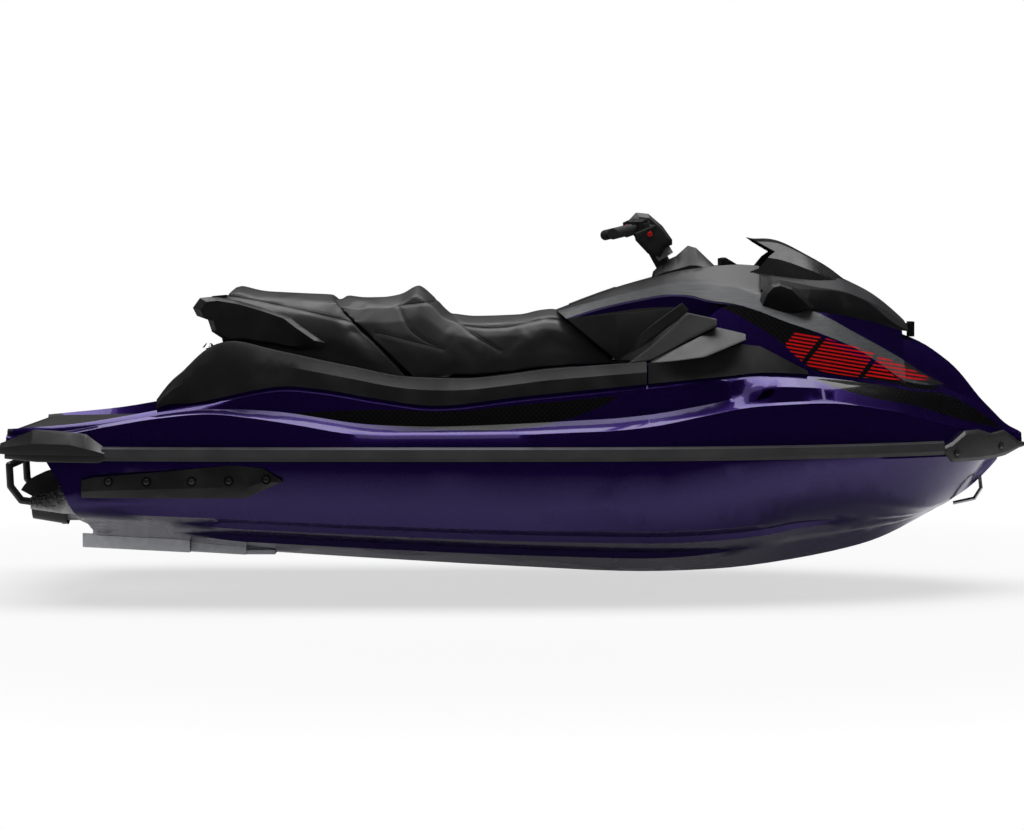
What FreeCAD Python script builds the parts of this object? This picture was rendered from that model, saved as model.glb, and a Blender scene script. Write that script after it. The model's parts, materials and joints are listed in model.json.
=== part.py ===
# A three-seat personal watercraft with its whole hull, as it is seen from its starboard side.
# Millimetres. +X runs to the bow, +Y to port and +Z up. The origin is on the centreline at the
# waterline, and stations along the craft are shares of the overall length counted from there.
import FreeCAD
import Part
import math
import os

from FreeCAD import Vector

# The whole craft
length_overall = 3340.0
half_beam = 590.0
draft = 256.0
sheer_height = 165.0
deck_height = 765.0

# Running clearance of every pin and shaft, and the gaps left under pieces fitted over others
bearing_play = 0.05
fit_gap = 0.3
loose_gap = 0.8

# Lines of the hull: station share of the length, then share of the size named after each table
sheer_breadth_shares = [
    (-0.491, 0.78), (-0.449, 0.89), (-0.389, 0.945), (-0.299, 0.98), (-0.18, 0.997), (-0.06, 1.0),
    (0.06, 0.99), (0.15, 0.949), (0.24, 0.856), (0.299, 0.759), (0.359, 0.624), (0.404, 0.492),
    (0.449, 0.322), (0.479, 0.19), (0.5, 0.07), (0.508, 0.03),
]
keel_height_shares = [
    (-0.45, -0.594), (-0.3, -0.695), (-0.16, -0.81), (0.0, -0.93), (0.132, -1.0),
    (0.192, -0.977), (0.228, -0.938), (0.29, -0.816), (0.352, -0.629), (0.383, -0.465),
    (0.414, -0.234), (0.439, -0.059), (0.468, 0.227), (0.484, 0.461),
]
chine_breadth_shares = [
    (-0.45, 0.839), (-0.3, 0.873), (-0.12, 0.881), (0.0, 0.878), (0.09, 0.847), (0.15, 0.797),
    (0.21, 0.712), (0.269, 0.585), (0.3, 0.505), (0.344, 0.364), (0.383, 0.22), (0.414, 0.09),
    (0.439, 0.045), (0.484, 0.02),
]
chine_height_shares = [
    (-0.45, -0.047), (-0.3, -0.121), (-0.141, -0.215), (0.007, -0.281), (0.068, -0.293),
    (0.145, -0.312), (0.18, -0.305), (0.24, -0.254), (0.292, -0.16), (0.344, -0.15),
    (0.383, -0.2), (0.414, -0.19), (0.439, 0.0), (0.484, 0.488),
]
knuckle_breadth_shares = [
    (-0.45, 0.898), (0.0, 0.936), (0.115, 0.924), (0.178, 0.868), (0.259, 0.742), (0.3, 0.644),
    (0.341, 0.522), (0.386, 0.339), (0.414, 0.17), (0.439, 0.09), (0.484, 0.047),
]
knuckle_height_shares = [
    (-0.45, 0.059), (0.0, 0.039), (0.115, 0.035), (0.178, 0.078), (0.259, 0.133), (0.3, 0.133),
    (0.341, 0.078), (0.386, -0.051), (0.414, -0.13), (0.439, 0.06), (0.484, 0.516),
]

# Lines of the deck: station, then shares of the half beam and of the deck height. Up the side
# run a lower crest, a valley that turns into a scoop ahead, an upper crest and the rim.
lower_line_height_shares = [
    (-0.491, 0.29), (-0.416, 0.317), (-0.389, 0.341), (-0.326, 0.386), (-0.287, 0.4),
    (-0.237, 0.379), (-0.198, 0.352), (-0.159, 0.323), (-0.13, 0.312), (-0.068, 0.313),
    (0.008, 0.316), (0.048, 0.323), (0.096, 0.331), (0.144, 0.355), (0.178, 0.386),
    (0.235, 0.426), (0.298, 0.435), (0.361, 0.399), (0.421, 0.33), (0.483, 0.262), (0.508, 0.25),
]
upper_line_height_shares = [
    (-0.491, 0.315), (-0.416, 0.343), (-0.35, 0.39), (-0.312, 0.42), (-0.283, 0.437),
    (-0.244, 0.477), (-0.213, 0.492), (-0.18, 0.479), (-0.129, 0.441), (-0.073, 0.411),
    (0.008, 0.448), (0.126, 0.498), (0.2, 0.528), (0.243, 0.544), (0.279, 0.537), (0.32, 0.517),
    (0.405, 0.462), (0.45, 0.39), (0.484, 0.3), (0.508, 0.265),
]
lower_line_breadth_share = 0.955
upper_line_breadth_shares = [
    (-0.491, 0.9), (-0.36, 0.9), (-0.3, 0.87), (-0.2, 0.86), (0.13, 0.83), (0.24, 0.83),
    (0.32, 0.78), (0.4, 0.68), (0.508, 0.5),
]
rim_shares = [
    (-0.491, 0.685, 0.308), (-0.449, 0.761, 0.308), (-0.389, 0.814, 0.311), (-0.349, 0.839, 0.316),
    (-0.34, 0.839, 0.418), (-0.32, 0.842, 0.527), (-0.302, 0.839, 0.591), (-0.284, 0.834, 0.664),
    (-0.271, 0.831, 0.682), (-0.254, 0.827, 0.669), (-0.202, 0.82, 0.618), (-0.15, 0.817, 0.57),
    (-0.096, 0.814, 0.528), (-0.044, 0.81, 0.522), (0.0, 0.807, 0.541), (0.035, 0.803, 0.561),
    (0.1, 0.793, 0.582), (0.129, 0.783, 0.592), (0.156, 0.72, 0.641), (0.18, 0.619, 0.739),
    (0.198, 0.546, 0.821), (0.216, 0.546, 0.837), (0.234, 0.568, 0.814), (0.265, 0.576, 0.762),
    (0.299, 0.534, 0.712), (0.334, 0.458, 0.648), (0.378, 0.339, 0.523), (0.4, 0.292, 0.473),
    (0.434, 0.203, 0.431), (0.467, 0.105, 0.353), (0.491, 0.041, 0.29), (0.509, 0.017, 0.268),
]
band_shares = [
    (0.036, 0.263, 0.752), (0.051, 0.28, 0.771), (0.086, 0.322, 0.82), (0.125, 0.39, 0.859),
    (0.15, 0.432, 0.877), (0.17, 0.475, 0.876), (0.189, 0.508, 0.856), (0.216, 0.546, 0.838),
    (0.234, 0.568, 0.815), (0.265, 0.576, 0.763), (0.299, 0.534, 0.713), (0.334, 0.458, 0.649),
    (0.378, 0.339, 0.524), (0.389, 0.315, 0.494),
]
shoulder_shares = [
    (0.036, 0.19, 0.792), (0.046, 0.203, 0.805), (0.086, 0.237, 0.852), (0.126, 0.271, 0.895),
    (0.152, 0.288, 0.923), (0.175, 0.305, 0.931), (0.205, 0.322, 0.923), (0.242, 0.356, 0.885),
    (0.296, 0.373, 0.803), (0.337, 0.322, 0.71), (0.388, 0.203, 0.588), (0.427, 0.102, 0.48),
    (0.467, 0.051, 0.392), (0.491, 0.024, 0.305), (0.509, 0.01, 0.27),
]
bed_shares = [
    (0.239, 0.354, 0.889), (0.296, 0.373, 0.805), (0.301, 0.364, 0.8), (0.313, 0.345, 0.795),
    (0.338, 0.288, 0.775), (0.363, 0.22, 0.748), (0.383, 0.136, 0.722), (0.395, 0.034, 0.714),
]
top_height_shares = [
    (0.036, 0.793), (0.047, 0.812), (0.103, 0.902), (0.138, 0.946), (0.165, 0.976), (0.203, 0.999),
    (0.225, 1.004), (0.242, 0.999), (0.287, 0.98), (0.322, 0.955), (0.343, 0.915), (0.356, 0.885),
    (0.386, 0.779), (0.395, 0.729),
]
nose_height_shares = [
    (0.383, 0.712), (0.386, 0.707), (0.409, 0.663), (0.447, 0.535), (0.458, 0.47), (0.476, 0.384),
    (0.493, 0.312), (0.509, 0.272),
]
base_breadth_shares = [
    (-0.4, 0.34), (0.045, 0.34), (0.09, 0.366), (0.129, 0.425), (0.168, 0.508), (0.19, 0.509),
    (0.216, 0.51), (0.234, 0.53), (0.265, 0.54), (0.299, 0.5), (0.334, 0.425), (0.378, 0.305),
    (0.389, 0.285),
]


def curve(shares, unit):
    """A smooth line through a table of shares, as a function of x in millimetres."""
    xs = [s * length_overall for s, _ in shares]
    ys = [v * unit for _, v in shares]
    slopes = [(b - a) / (q - p) for a, b, p, q in zip(ys, ys[1:], xs, xs[1:])]
    tangents = [slopes[0]]
    for before, after in zip(slopes, slopes[1:]):
        level = before * after <= 0
        tangents.append(0 if level else 2 * before * after / (before + after))
    tangents.append(slopes[-1])

    def value(x):
        if x <= xs[0]:
            return ys[0]
        if x >= xs[-1]:
            return ys[-1]
        i = max(n for n, station in enumerate(xs) if station <= x)
        span = xs[i + 1] - xs[i]
        t = (x - xs[i]) / span
        rise = ys[i + 1] - ys[i]
        a, b = tangents[i] * span, tangents[i + 1] * span
        return ys[i] + a * t + (3 * rise - 2 * a - b) * t**2 + (a + b - 2 * rise) * t**3

    return value


def line(shares):
    """The breadth and height along a line of the deck, each as a function of x."""
    breadth = curve([(s, b) for s, b, _ in shares], half_beam)
    height = curve([(s, h) for s, _, h in shares], deck_height)
    return breadth, height


def outline(shares):
    """Points in the XZ plane from shares of the length and of the deck height."""
    return [(s * length_overall, h * deck_height) for s, h in shares]


def at(share):
    return share * length_overall


def mix(a, b, share):
    return a + (b - a) * share


def spread(first, last, count):
    """Evenly spaced stations from first to last."""
    return [mix(first, last, n / (count - 1)) for n in range(count)]


sheer_y = curve(sheer_breadth_shares, half_beam)
keel_z = curve(keel_height_shares, draft)
chine_y = curve(chine_breadth_shares, half_beam)
chine_z = curve(chine_height_shares, draft)
knuckle_y = curve(knuckle_breadth_shares, half_beam)
knuckle_z = curve(knuckle_height_shares, draft)
lower_line_z = curve(lower_line_height_shares, deck_height)
upper_line_z = curve(upper_line_height_shares, deck_height)
upper_line_share = curve(upper_line_breadth_shares, 1)
rim_y, rim_z = line(rim_shares)
band_y, band_z = line(band_shares)
shoulder_y, shoulder_z = line(shoulder_shares)
bed_y, bed_z = line(bed_shares)
top_z = curve(top_height_shares, deck_height)
nose_z = curve(nose_height_shares, deck_height)
base_y = curve(base_breadth_shares, half_beam)


def polygon(x, points):
    """A closed wire in the plane at station x, through (y, z) points."""
    corners = [Vector(x, y, z) for y, z in points]
    return Part.makePolygon(corners + corners[:1])


def mirrored(half):
    """The points of a whole section, from those of its port half running out from the centreline."""
    return half + [(-y, z) for y, z in reversed(half) if y > 0]


def loft(xs, section):
    """A solid through the sections at these stations."""
    return Part.makeLoft([polygon(x, section(x)) for x in xs], True, False)


def stations(span_shares, count):
    """Evenly spaced stations along a stretch of the craft, given by the shares at its two ends."""
    first, last = span_shares
    return spread(at(first), at(last), count)


def stacked(slices):
    """A solid with flat facets through outlines in the XZ plane, each given with its own y."""
    wires = []
    for y, points in slices:
        corners = [Vector(x, y, z) for x, z in points]
        wires.append(Part.makePolygon(corners + corners[:1]))
    return Part.makeLoft(wires, True, True)


def shrunk(points, share):
    """An outline drawn in towards its own middle."""
    middle_x = sum(x for x, _ in points) / len(points)
    middle_z = sum(z for _, z in points) / len(points)
    return [(mix(middle_x, x, share), mix(middle_z, z, share)) for x, z in points]


def chamfered(points, half_width, edge, share):
    """An outline carried to both sides of the centreline, with its outer edges bevelled."""
    small = shrunk(points, share)
    inner = half_width - edge
    return stacked([(-half_width, small), (-inner, points), (inner, points), (half_width, small)])


def box(low, high):
    return Part.makeBox(high[0] - low[0], high[1] - low[1], high[2] - low[2], Vector(*low))


def prism(points, low_y, high_y):
    """An outline in the XZ plane carried from low_y to high_y."""
    corners = [Vector(x, low_y, z) for x, z in points]
    face = Part.Face(Part.makePolygon(corners + corners[:1]))
    return face.extrude(Vector(0, high_y - low_y, 0))


def rod(start, end, radius):
    """A round bar between two points."""
    axis = Vector(*end) - Vector(*start)
    return Part.makeCylinder(radius, axis.Length, Vector(*start), axis)


def tube(points, radius):
    """A round bar along a path, with round corners."""
    bars = [rod(a, b, radius) for a, b in zip(points, points[1:])]
    corners = [Part.makeSphere(radius, Vector(*p)) for p in points[1:-1]]
    return bars[0].fuse(bars[1:] + corners)


def port(shape):
    return shape.mirror(Vector(0, 0, 0), Vector(0, 1, 0))


def clear_of(shape, others):
    """The largest solid left of a shape when each of the others has been cut away."""
    for other in others:
        shape = shape.cut(other)
    return max(shape.Solids, key=lambda solid: solid.Volume)


def lifted(shape, side=0, gap=fit_gap):
    """The shape moved off the surface it was cut to, upwards and to the side."""
    return shape.translated(Vector(0, side * gap, gap))


def beside(shape, under):
    """The shape cut to lie a small gap over another one and to both sides of it."""
    moves = [Vector(0, fit_gap, fit_gap), Vector(0, -fit_gap, fit_gap)]
    return clear_of(shape, [under.translated(move) for move in moves])


def pair(name, make):
    """Left and right pieces: make builds the left one, on the port side."""
    left = make()
    return {name + "_left": left, name + "_right": port(left)}


# Pump tunnel and the drive along one axis
drive_height = -30.0
duct_radius = 82.0
duct_wall = 10.0
shaft_radius = 15.0
shaft_clear = 3.0
tunnel_half_width = 112.0
tunnel_roof = 78.0
tunnel_front_share = -0.318
intake_front_share = -0.235
intake_half_width = 82.0
intake_bend_share = 0.3
below_keel = 300.0

# Engine pocket, closed over by the deck
engine_back_share = -0.075
engine_front_share = 0.12
engine_half_width = 165.0
engine_floor = -150.0
engine_top = 280.0

# Hull
hull_span_shares = (-0.446, 0.484)
hull_stations = 32
flange_height = 20.0
strake_step = 20.0
strake_lean = 8.0
least_step = 1.0
inner_strake_share = 0.5
outer_strake_share = 0.8
inner_fade = curve([(-0.33, 0.0), (-0.26, 1.0), (0.13, 1.0), (0.26, 0.0)], 1)
outer_fade = curve([(-0.33, 0.0), (-0.26, 1.0), (0.26, 1.0), (0.35, 0.0)], 1)
transom_shares = [
    (-0.46, 0.24), (-0.4437, 0.216), (-0.4278, 0.1), (-0.41, -0.085), (-0.41, -0.5), (-0.46, -0.5),
]


def hull_section(x):
    keel, chine = (0.0, keel_z(x)), (chine_y(x), chine_z(x))

    def bottom(share):
        return chine[0] * share, mix(keel[1], chine[1], share)

    narrow = min(1, chine[0] / half_beam / outer_strake_share)
    inner_step = least_step * narrow + strake_step * inner_fade(x)
    outer_step = least_step * narrow + strake_step * outer_fade(x)
    lean = strake_lean * narrow
    inner_y, inner_z = bottom(inner_strake_share)
    outer_y, outer_z = bottom(outer_strake_share)
    return mirrored([
        keel,
        (inner_y, inner_z - inner_step),
        (inner_y + lean, inner_z),
        (outer_y, outer_z - outer_step / 2),
        (outer_y + lean, outer_z + outer_step / 2),
        chine,
        (knuckle_y(x), knuckle_z(x)),
        (sheer_y(x), sheer_height - flange_height),
        (sheer_y(x), sheer_height),
    ])


def engine_pocket():
    return box(
        (at(engine_back_share), -engine_half_width, engine_floor),
        (at(engine_front_share), engine_half_width, engine_top),
    )


def intake_duct():
    """The duct from the opening in the bottom up to the mouth of the pump."""
    front, back = at(intake_front_share), at(tunnel_front_share)
    profile = [
        (back, drive_height + duct_radius),
        (mix(back, front, intake_bend_share), drive_height + duct_radius / 2),
        (front, keel_z(front) + duct_wall),
        (front, -below_keel),
        (back, -below_keel),
    ]
    return prism(profile, -intake_half_width, intake_half_width)


def hull():
    body = loft(stations(hull_span_shares, hull_stations), hull_section)
    stern, front = at(hull_span_shares[0]), at(tunnel_front_share)
    tunnel = box((stern, -tunnel_half_width, -below_keel), (front, tunnel_half_width, tunnel_roof))
    bore = rod((front, 0, drive_height), (at(engine_back_share), 0, drive_height), shaft_radius + shaft_clear)
    rake = prism(outline(transom_shares), -half_beam, half_beam)
    return body.cut([tunnel, intake_duct(), bore, engine_pocket(), rake])


# Deck
deck_span_shares = (-0.482, 0.386)
nose_span_shares = (0.386, 0.508)
deck_stations = 40
nose_stations = 12
crest_chamfer = 12.0
valley_in = curve([(0.2, 0.7), (0.25, 0.32), (0.36, 0.32), (0.43, 0.6)], 1)
valley_up = curve([(0.2, 0.25), (0.25, 0.6), (0.36, 0.5), (0.43, 0.3)], 1)
nose_round_share = 0.45
nose_fall_share = 0.2
gunwale_width = 75.0
footwell_floor = 225.0
footwell_span_shares = (-0.352, 0.075)
toe_span_shares = (0.075, 0.168)
footwell_stations = 18
toe_stations = 7
footwell_lean = 14.0
toe_z = curve([(0.075, 0.294), (0.11, 0.35), (0.14, 0.5), (0.17, 0.75)], deck_height)
vent_shares = [(0.2316, 0.443), (0.2392, 0.481), (0.2478, 0.491), (0.2507, 0.481), (0.2459, 0.456)]
vent_depth = 60.0


def flank(x):
    """The port side of the deck, from the sheer up to its second crest."""
    sheer = sheer_y(x)
    low = (lower_line_breadth_share * sheer, lower_line_z(x))
    high = (upper_line_share(x) * sheer, upper_line_z(x))
    half, slim = crest_chamfer / 2, min(1, sheer / half_beam)
    return [
        (sheer, sheer_height),
        (sheer, sheer_height + flange_height),
        (low[0] + half * slim, low[1] - half * slim),
        (low[0] - half * slim, low[1] + half * slim / 2),
        (mix(low[0], high[0], valley_in(x)), mix(low[1], high[1], valley_up(x))),
        (high[0] + half * slim, high[1] - half * slim),
        (high[0] - half * slim, high[1] + half * slim / 2),
    ]


def deck_section(x):
    return mirrored(flank(x) + [(rim_y(x), rim_z(x))])


def nose_section(x):
    crown = nose_z(x)
    return mirrored(flank(x) + [
        (rim_y(x), rim_z(x)),
        (shoulder_y(x), shoulder_z(x)),
        (shoulder_y(x) * nose_round_share, mix(crown, shoulder_z(x), nose_fall_share)),
        (0.0, crown),
    ])


def wall_y(x):
    return rim_y(x) - gunwale_width


def footwell():
    """The space over the flat floor of the port footwell and over its rising toe end."""
    def section(floor):
        def outline_at(x):
            return [
                (base_y(x), floor(x)),
                (wall_y(x) - footwell_lean, floor(x)),
                (wall_y(x), deck_height),
                (base_y(x), deck_height),
            ]

        return outline_at

    flat = loft(stations(footwell_span_shares, footwell_stations), section(lambda x: footwell_floor))
    toe = loft(stations(toe_span_shares, toe_stations), section(lambda x: max(footwell_floor, toe_z(x))))
    return flat.fuse(toe)


def side_vent():
    """The pocket of the air vent under the scoop on the port side."""
    breadth = flank(at(vent_shares[1][0]))[2][0]
    return prism(outline(vent_shares), breadth - vent_depth, breadth)


# Boxes let into the deck and the cowl: a storage bin under the hood, a glovebox behind the bars
bin_back_share = 0.262
bin_front_share = 0.33
bin_half_width = 120.0
bin_floor = 430.0
glove_back_share = 0.07
glove_front_share = 0.098
glove_half_width = 55.0
glove_floor = 570.0


def storage_bin():
    low = (at(bin_back_share), -bin_half_width, bin_floor)
    return box(low, (at(bin_front_share), bin_half_width, deck_height))


def deck():
    aft = loft(stations(deck_span_shares, deck_stations), deck_section)
    body = aft.fuse(loft(stations(nose_span_shares, nose_stations), nose_section))
    well, vent = footwell(), side_vent()
    return body.cut([well, port(well), vent, port(vent), engine_pocket(), storage_bin()])


# Upper cowl: the grey band round the bars and the bed of the hood
cowl_rear_span_shares = (0.036, 0.2425)
cowl_bed_span_shares = (0.2425, 0.386)
cowl_rear_stations = 16
cowl_bed_stations = 12
flat_top_share = 0.62
sink = 15.0
band_inset = 2.0
seat_space_shares = [
    (0.044, 0.82), (0.044, 0.807), (0.1057, 0.583), (0.1057, 0.5), (-0.2, 0.5), (-0.2, 0.95), (0.044, 0.95),
]


def cowl_half(x):
    outer = min(band_y(x), rim_y(x) - band_inset)
    return [(base_y(x), rim_z(x) - sink), (outer, band_z(x)), (shoulder_y(x), shoulder_z(x))]


def cowl_section(x):
    return mirrored(cowl_half(x) + [(flat_top_share * shoulder_y(x), top_z(x))])


def bed_section(x):
    return mirrored(cowl_half(x) + [(bed_y(x), bed_z(x))])


def lid_prism(half_width, back_share, front_share, under, over):
    """A slab along the flat top of the cowl, from under to over its surface."""
    xs = stations((back_share, front_share), lid_stations)
    upper = [(x, top_z(x) + over) for x in xs]
    lower = [(x, top_z(x) + under) for x in reversed(xs)]
    return prism(upper + lower, -half_width, half_width)


lid_thickness = 12.0
lid_rim = 14.0
lid_gap = 1.5
lid_crown = 3.0
lid_back_share = 0.057
lid_front_share = 0.103
lid_pin_radius = 3.0
lid_pin_reach = 8.0
lid_stations = 4


def glovebox():
    low = (at(glove_back_share), -glove_half_width, glove_floor)
    return box(low, (at(glove_front_share), glove_half_width, deck_height))


def lid_barrel(radius, half_width):
    """A round bar along the lid's hinge, at half the lid's depth under its front edge."""
    x = at(lid_front_share)
    z = top_z(x) + (lid_crown - lid_thickness) / 2
    return rod((x, -half_width, z), (x, half_width, z), radius)


def glovebox_lid():
    half = glove_half_width + lid_rim
    slab = lid_prism(half, lid_back_share, lid_front_share, -lid_thickness, lid_crown)
    barrel = lid_barrel((lid_thickness + lid_crown) / 2, half)
    return slab.fuse([barrel, lid_barrel(lid_pin_radius, half + lid_pin_reach)])


def lid_recess():
    """The space for the lid and its turning barrel, with the holes for its pins."""
    half = glove_half_width + lid_rim + lid_gap
    back = lid_back_share - lid_gap / length_overall
    slab = lid_prism(half, back, lid_front_share, -lid_thickness - lid_gap, lid_thickness)
    barrel = lid_barrel((lid_thickness + lid_crown) / 2 + lid_gap, half)
    return slab.fuse([barrel, lid_barrel(lid_pin_radius + bearing_play, half + lid_pin_reach)])


def seat_space():
    """The space behind the cowl, where the front seat ends."""
    return prism(outline(seat_space_shares), -half_beam, half_beam)


def upper_cowl(below):
    rear = loft(stations(cowl_rear_span_shares, cowl_rear_stations), cowl_section)
    front = loft(stations(cowl_bed_span_shares, cowl_bed_stations), bed_section)
    rear = clear_of(rear, [lid_recess(), glovebox(), steering_socket(), seat_space(), below])
    return rear.fuse(clear_of(front, [storage_bin(), below]))


# Hood with its visor and mirrors, hinged at the nose
hood_span_shares = (0.2425, 0.3945)
hood_stations = 14
hood_break_shares = [(1.0, 0.14), (0.88, 0.62), (0.5, 0.94)]
hinge_share = 0.397
hinge_rise = 9.0
hinge_pin_radius = 4.0
hinge_well_radius = 26.0
hinge_well_half_width = 32.0
lug_half_width = 13.0
lug_radius = 9.0
hinge_cheek = 10.0

# The visor is a thin arch, cut to a swept notch behind
visor_stations = 8
visor_span_shares = (0.2335, 0.33)
visor_shares = [
    (0.2335, 0.26, 1.121), (0.2581, 0.28, 1.112), (0.2884, 0.27, 1.054), (0.3194, 0.2, 0.975),
    (0.33, 0.14, 0.94),
]
visor_breadth, visor_top = line(visor_shares)
visor_arch_shares = [(1.0, 0.0), (0.96, 0.55), (0.72, 0.92), (0.3, 1.0)]
visor_wall = 9.0
visor_sink = 20.0
visor_foot_share = 0.7
visor_notch_shares = [
    (0.22, 1.2), (0.2335, 1.121), (0.258, 1.06), (0.252, 1.04), (0.2425, 0.99), (0.22, 0.95),
]

# Each mirror is a chunky pod with flat facets
mirror_shares = [
    (0.2372, 0.821), (0.243, 0.885), (0.2508, 0.923), (0.2595, 0.932), (0.2731, 0.911),
    (0.2945, 0.821), (0.2702, 0.792), (0.2508, 0.796),
]
mirror_root = 150.0
mirror_inner = 190.0
mirror_outer = 262.0
mirror_tip = 290.0
mirror_root_share = 0.7
mirror_tip_share = 0.78


def hinge_point():
    return Vector(at(hinge_share), 0, top_z(at(hood_span_shares[1])) + hinge_rise)


def hood_section(x):
    breadth, bed, crown = bed_y(x), bed_z(x), top_z(x)
    breaks = [(breadth * s, mix(bed, crown, h)) for s, h in hood_break_shares]
    return mirrored([(breadth, bed)] + breaks + [(0.0, crown)])


def hood(below):
    cover = loft(stations(hood_span_shares, hood_stations), hood_section)
    pin = hinge_point()
    start, end = Vector(pin.x, -lug_half_width, pin.z), Vector(pin.x, lug_half_width, pin.z)
    lug = rod(start, end, lug_radius)
    reach = box(
        (pin.x - 4 * lug_radius, -lug_half_width, pin.z - lug_radius),
        (pin.x, lug_half_width, pin.z + lug_radius / 2),
    )
    hole = rod(start, end, hinge_pin_radius + bearing_play)
    side = Vector(0, hinge_well_half_width, 0)
    cover = cover.cut(rod(pin - side, pin + side, hinge_well_radius))
    return clear_of(cover.fuse([lug, reach]), below + [hole])


def hood_hinge(below):
    pin = hinge_point()
    inner = lug_half_width + lid_gap / 2
    cheek = box(
        (pin.x - hinge_cheek, inner, pin.z - 4 * hinge_cheek),
        (pin.x + hinge_cheek, inner + hinge_cheek, pin.z + hinge_cheek),
    )
    web = box(
        (pin.x + lug_radius + lid_gap, -inner, pin.z - 4 * hinge_cheek),
        (pin.x + lug_radius + hinge_cheek, inner, pin.z),
    )
    shaft = rod((pin.x, -inner, pin.z), (pin.x, inner, pin.z), hinge_pin_radius)
    return clear_of(cheek.fuse([port(cheek), web, shaft]), below)


def visor(below):
    def arch(wall):
        def section(x):
            wide, high = visor_breadth(x) - wall, visor_top(x) - wall
            foot = mix(bed_z(x), top_z(x), visor_foot_share) - visor_sink
            return mirrored([(wide * s, mix(foot - wall, high, h)) for s, h in visor_arch_shares])

        return section

    xs = stations(visor_span_shares, visor_stations)
    shell = loft(xs, arch(0)).cut(loft(xs, arch(visor_wall)))
    notch = prism(outline(visor_notch_shares), -half_beam, half_beam)
    return clear_of(shell, [notch] + below)


def mirror():
    points = outline(mirror_shares)
    return stacked([
        (mirror_root, shrunk(points, mirror_root_share)),
        (mirror_inner, points),
        (mirror_outer, points),
        (mirror_tip, shrunk(points, mirror_tip_share)),
    ])


# Steering: the column turns in a fin on the cowl
column_share = 0.151
column_foot = 765.0
column_lean_degrees = 28.7
column_radius = 26.0
column_length = 150.0
socket_depth = 55.0
fin_shares = [
    (0.1382, 0.93), (0.1407, 0.973), (0.1497, 1.012), (0.1637, 1.041), (0.1751, 1.085), (0.1826, 1.076),
    (0.2032, 0.99), (0.2032, 0.93),
]
fin_low_shares = [
    (0.1382, 0.93), (0.1407, 0.95), (0.1497, 0.97), (0.1637, 0.985), (0.1751, 1.0), (0.1826, 1.0),
    (0.2032, 0.98), (0.2032, 0.93),
]
fin_ridge_half_width = 26.0
fin_half_width = 66.0
bar_radius = 11.0
bar_shares = [(0.0, 0.133, 1.176), (0.2, 0.132, 1.184), (0.42, 0.117, 1.155), (0.68, 0.097, 1.134)]
grip_inner_share = 0.46
grip_radius = 18.0
grip_end = 6.0
lever_shares = [(0.24, 0.131, 1.17), (0.3, 0.139, 1.165), (0.62, 0.118, 1.13)]
lever_radius = 6.0
perch_shares = (0.235, 0.275)
perch_radius = 20.0
pad_half_width = 62.0
pad_edge = 16.0
pad_edge_share = 0.8
pad_shares = [
    (0.1151, 1.189), (0.1235, 1.228), (0.1349, 1.223), (0.1488, 1.171), (0.1587, 1.111), (0.1587, 1.089),
    (0.1528, 1.079), (0.1463, 1.035), (0.1359, 1.05), (0.1235, 1.107), (0.121, 1.15),
]


def column_axis():
    lean = math.radians(column_lean_degrees)
    return Vector(-math.sin(lean), 0, math.cos(lean))


def column_point(distance):
    return Vector(at(column_share), 0, column_foot) + column_axis() * distance


def steering_socket():
    return rod(column_point(-socket_depth), column_point(column_length), column_radius + bearing_play)


def steering_fin(below):
    ridge, low = outline(fin_shares), outline(fin_low_shares)
    body = stacked([
        (-fin_half_width, low),
        (-fin_ridge_half_width, ridge),
        (fin_ridge_half_width, ridge),
        (fin_half_width, low),
    ])
    return clear_of(body, [below, steering_socket()])


def bar_path(rows):
    """Points (x, y, z) from rows of shares of the half beam, the length and the deck height."""
    return [(x * length_overall, y * half_beam, z * deck_height) for y, x, z in rows]


def bar_point(share):
    """The point on the port bar at this share of the half beam."""
    (y1, x1, z1), (y2, x2, z2) = bar_shares[-2:]
    along = (share - y1) / (y2 - y1)
    (point,) = bar_path([(share, mix(x1, x2, along), mix(z1, z2, along))])
    return Vector(*point)


def handlebar():
    half = bar_path(bar_shares)
    other = [(x, -y, z) for x, y, z in reversed(half[1:])]
    column = rod(column_point(-socket_depth + lid_gap), column_point(column_length), column_radius)
    inner, outer = perch_shares
    perch = rod(bar_point(inner), bar_point(outer), perch_radius)
    lever = tube(bar_path(lever_shares), lever_radius).fuse(perch)
    return tube(other + half, bar_radius).fuse([column, lever, port(lever)])


def grip():
    start, end = bar_point(grip_inner_share), bar_point(bar_shares[-1][0])
    tip = end + (end - start).normalize() * grip_end
    return rod(start, tip, grip_radius).cut(rod(start, end, bar_radius))


def bar_pad(bars):
    return chamfered(outline(pad_shares), pad_half_width, pad_edge, pad_edge_share).cut(bars)


# Seats
seat_split_shares = [(-0.1897, 0.911), (-0.1098, 0.561)]
seat_front_top = curve([
    (-0.18, 0.868), (-0.1667, 0.863), (-0.1467, 0.852), (-0.1267, 0.854), (-0.1098, 0.869), (-0.0928, 0.905),
    (-0.0828, 0.872), (-0.0719, 0.826), (-0.0599, 0.784), (-0.0369, 0.771), (0.008, 0.778), (0.0329, 0.8),
    (0.0429, 0.8), (0.0539, 0.775), (0.11, 0.7),
], deck_height)
seat_rear_top = curve([
    (-0.287, 0.84), (-0.2834, 0.885), (-0.2745, 0.909), (-0.2615, 0.889), (-0.2415, 0.878), (-0.2116, 0.871),
    (-0.17, 0.863), (-0.1, 0.84),
], deck_height)
seat_breadth = curve([
    (-0.29, 0.3), (-0.25, 0.35), (-0.18, 0.36), (-0.1, 0.35), (0.0, 0.32), (0.06, 0.3), (0.11, 0.29),
], half_beam)
seat_rear_span_shares = (-0.285, -0.1)
seat_front_span_shares = (-0.18, 0.108)
seat_rear_stations = 12
seat_front_stations = 28
seat_break_shares = [(1.0, 0.3), (0.94, 0.68), (0.8, 0.9), (0.42, 1.0)]
seat_gap = 3.0


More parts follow.
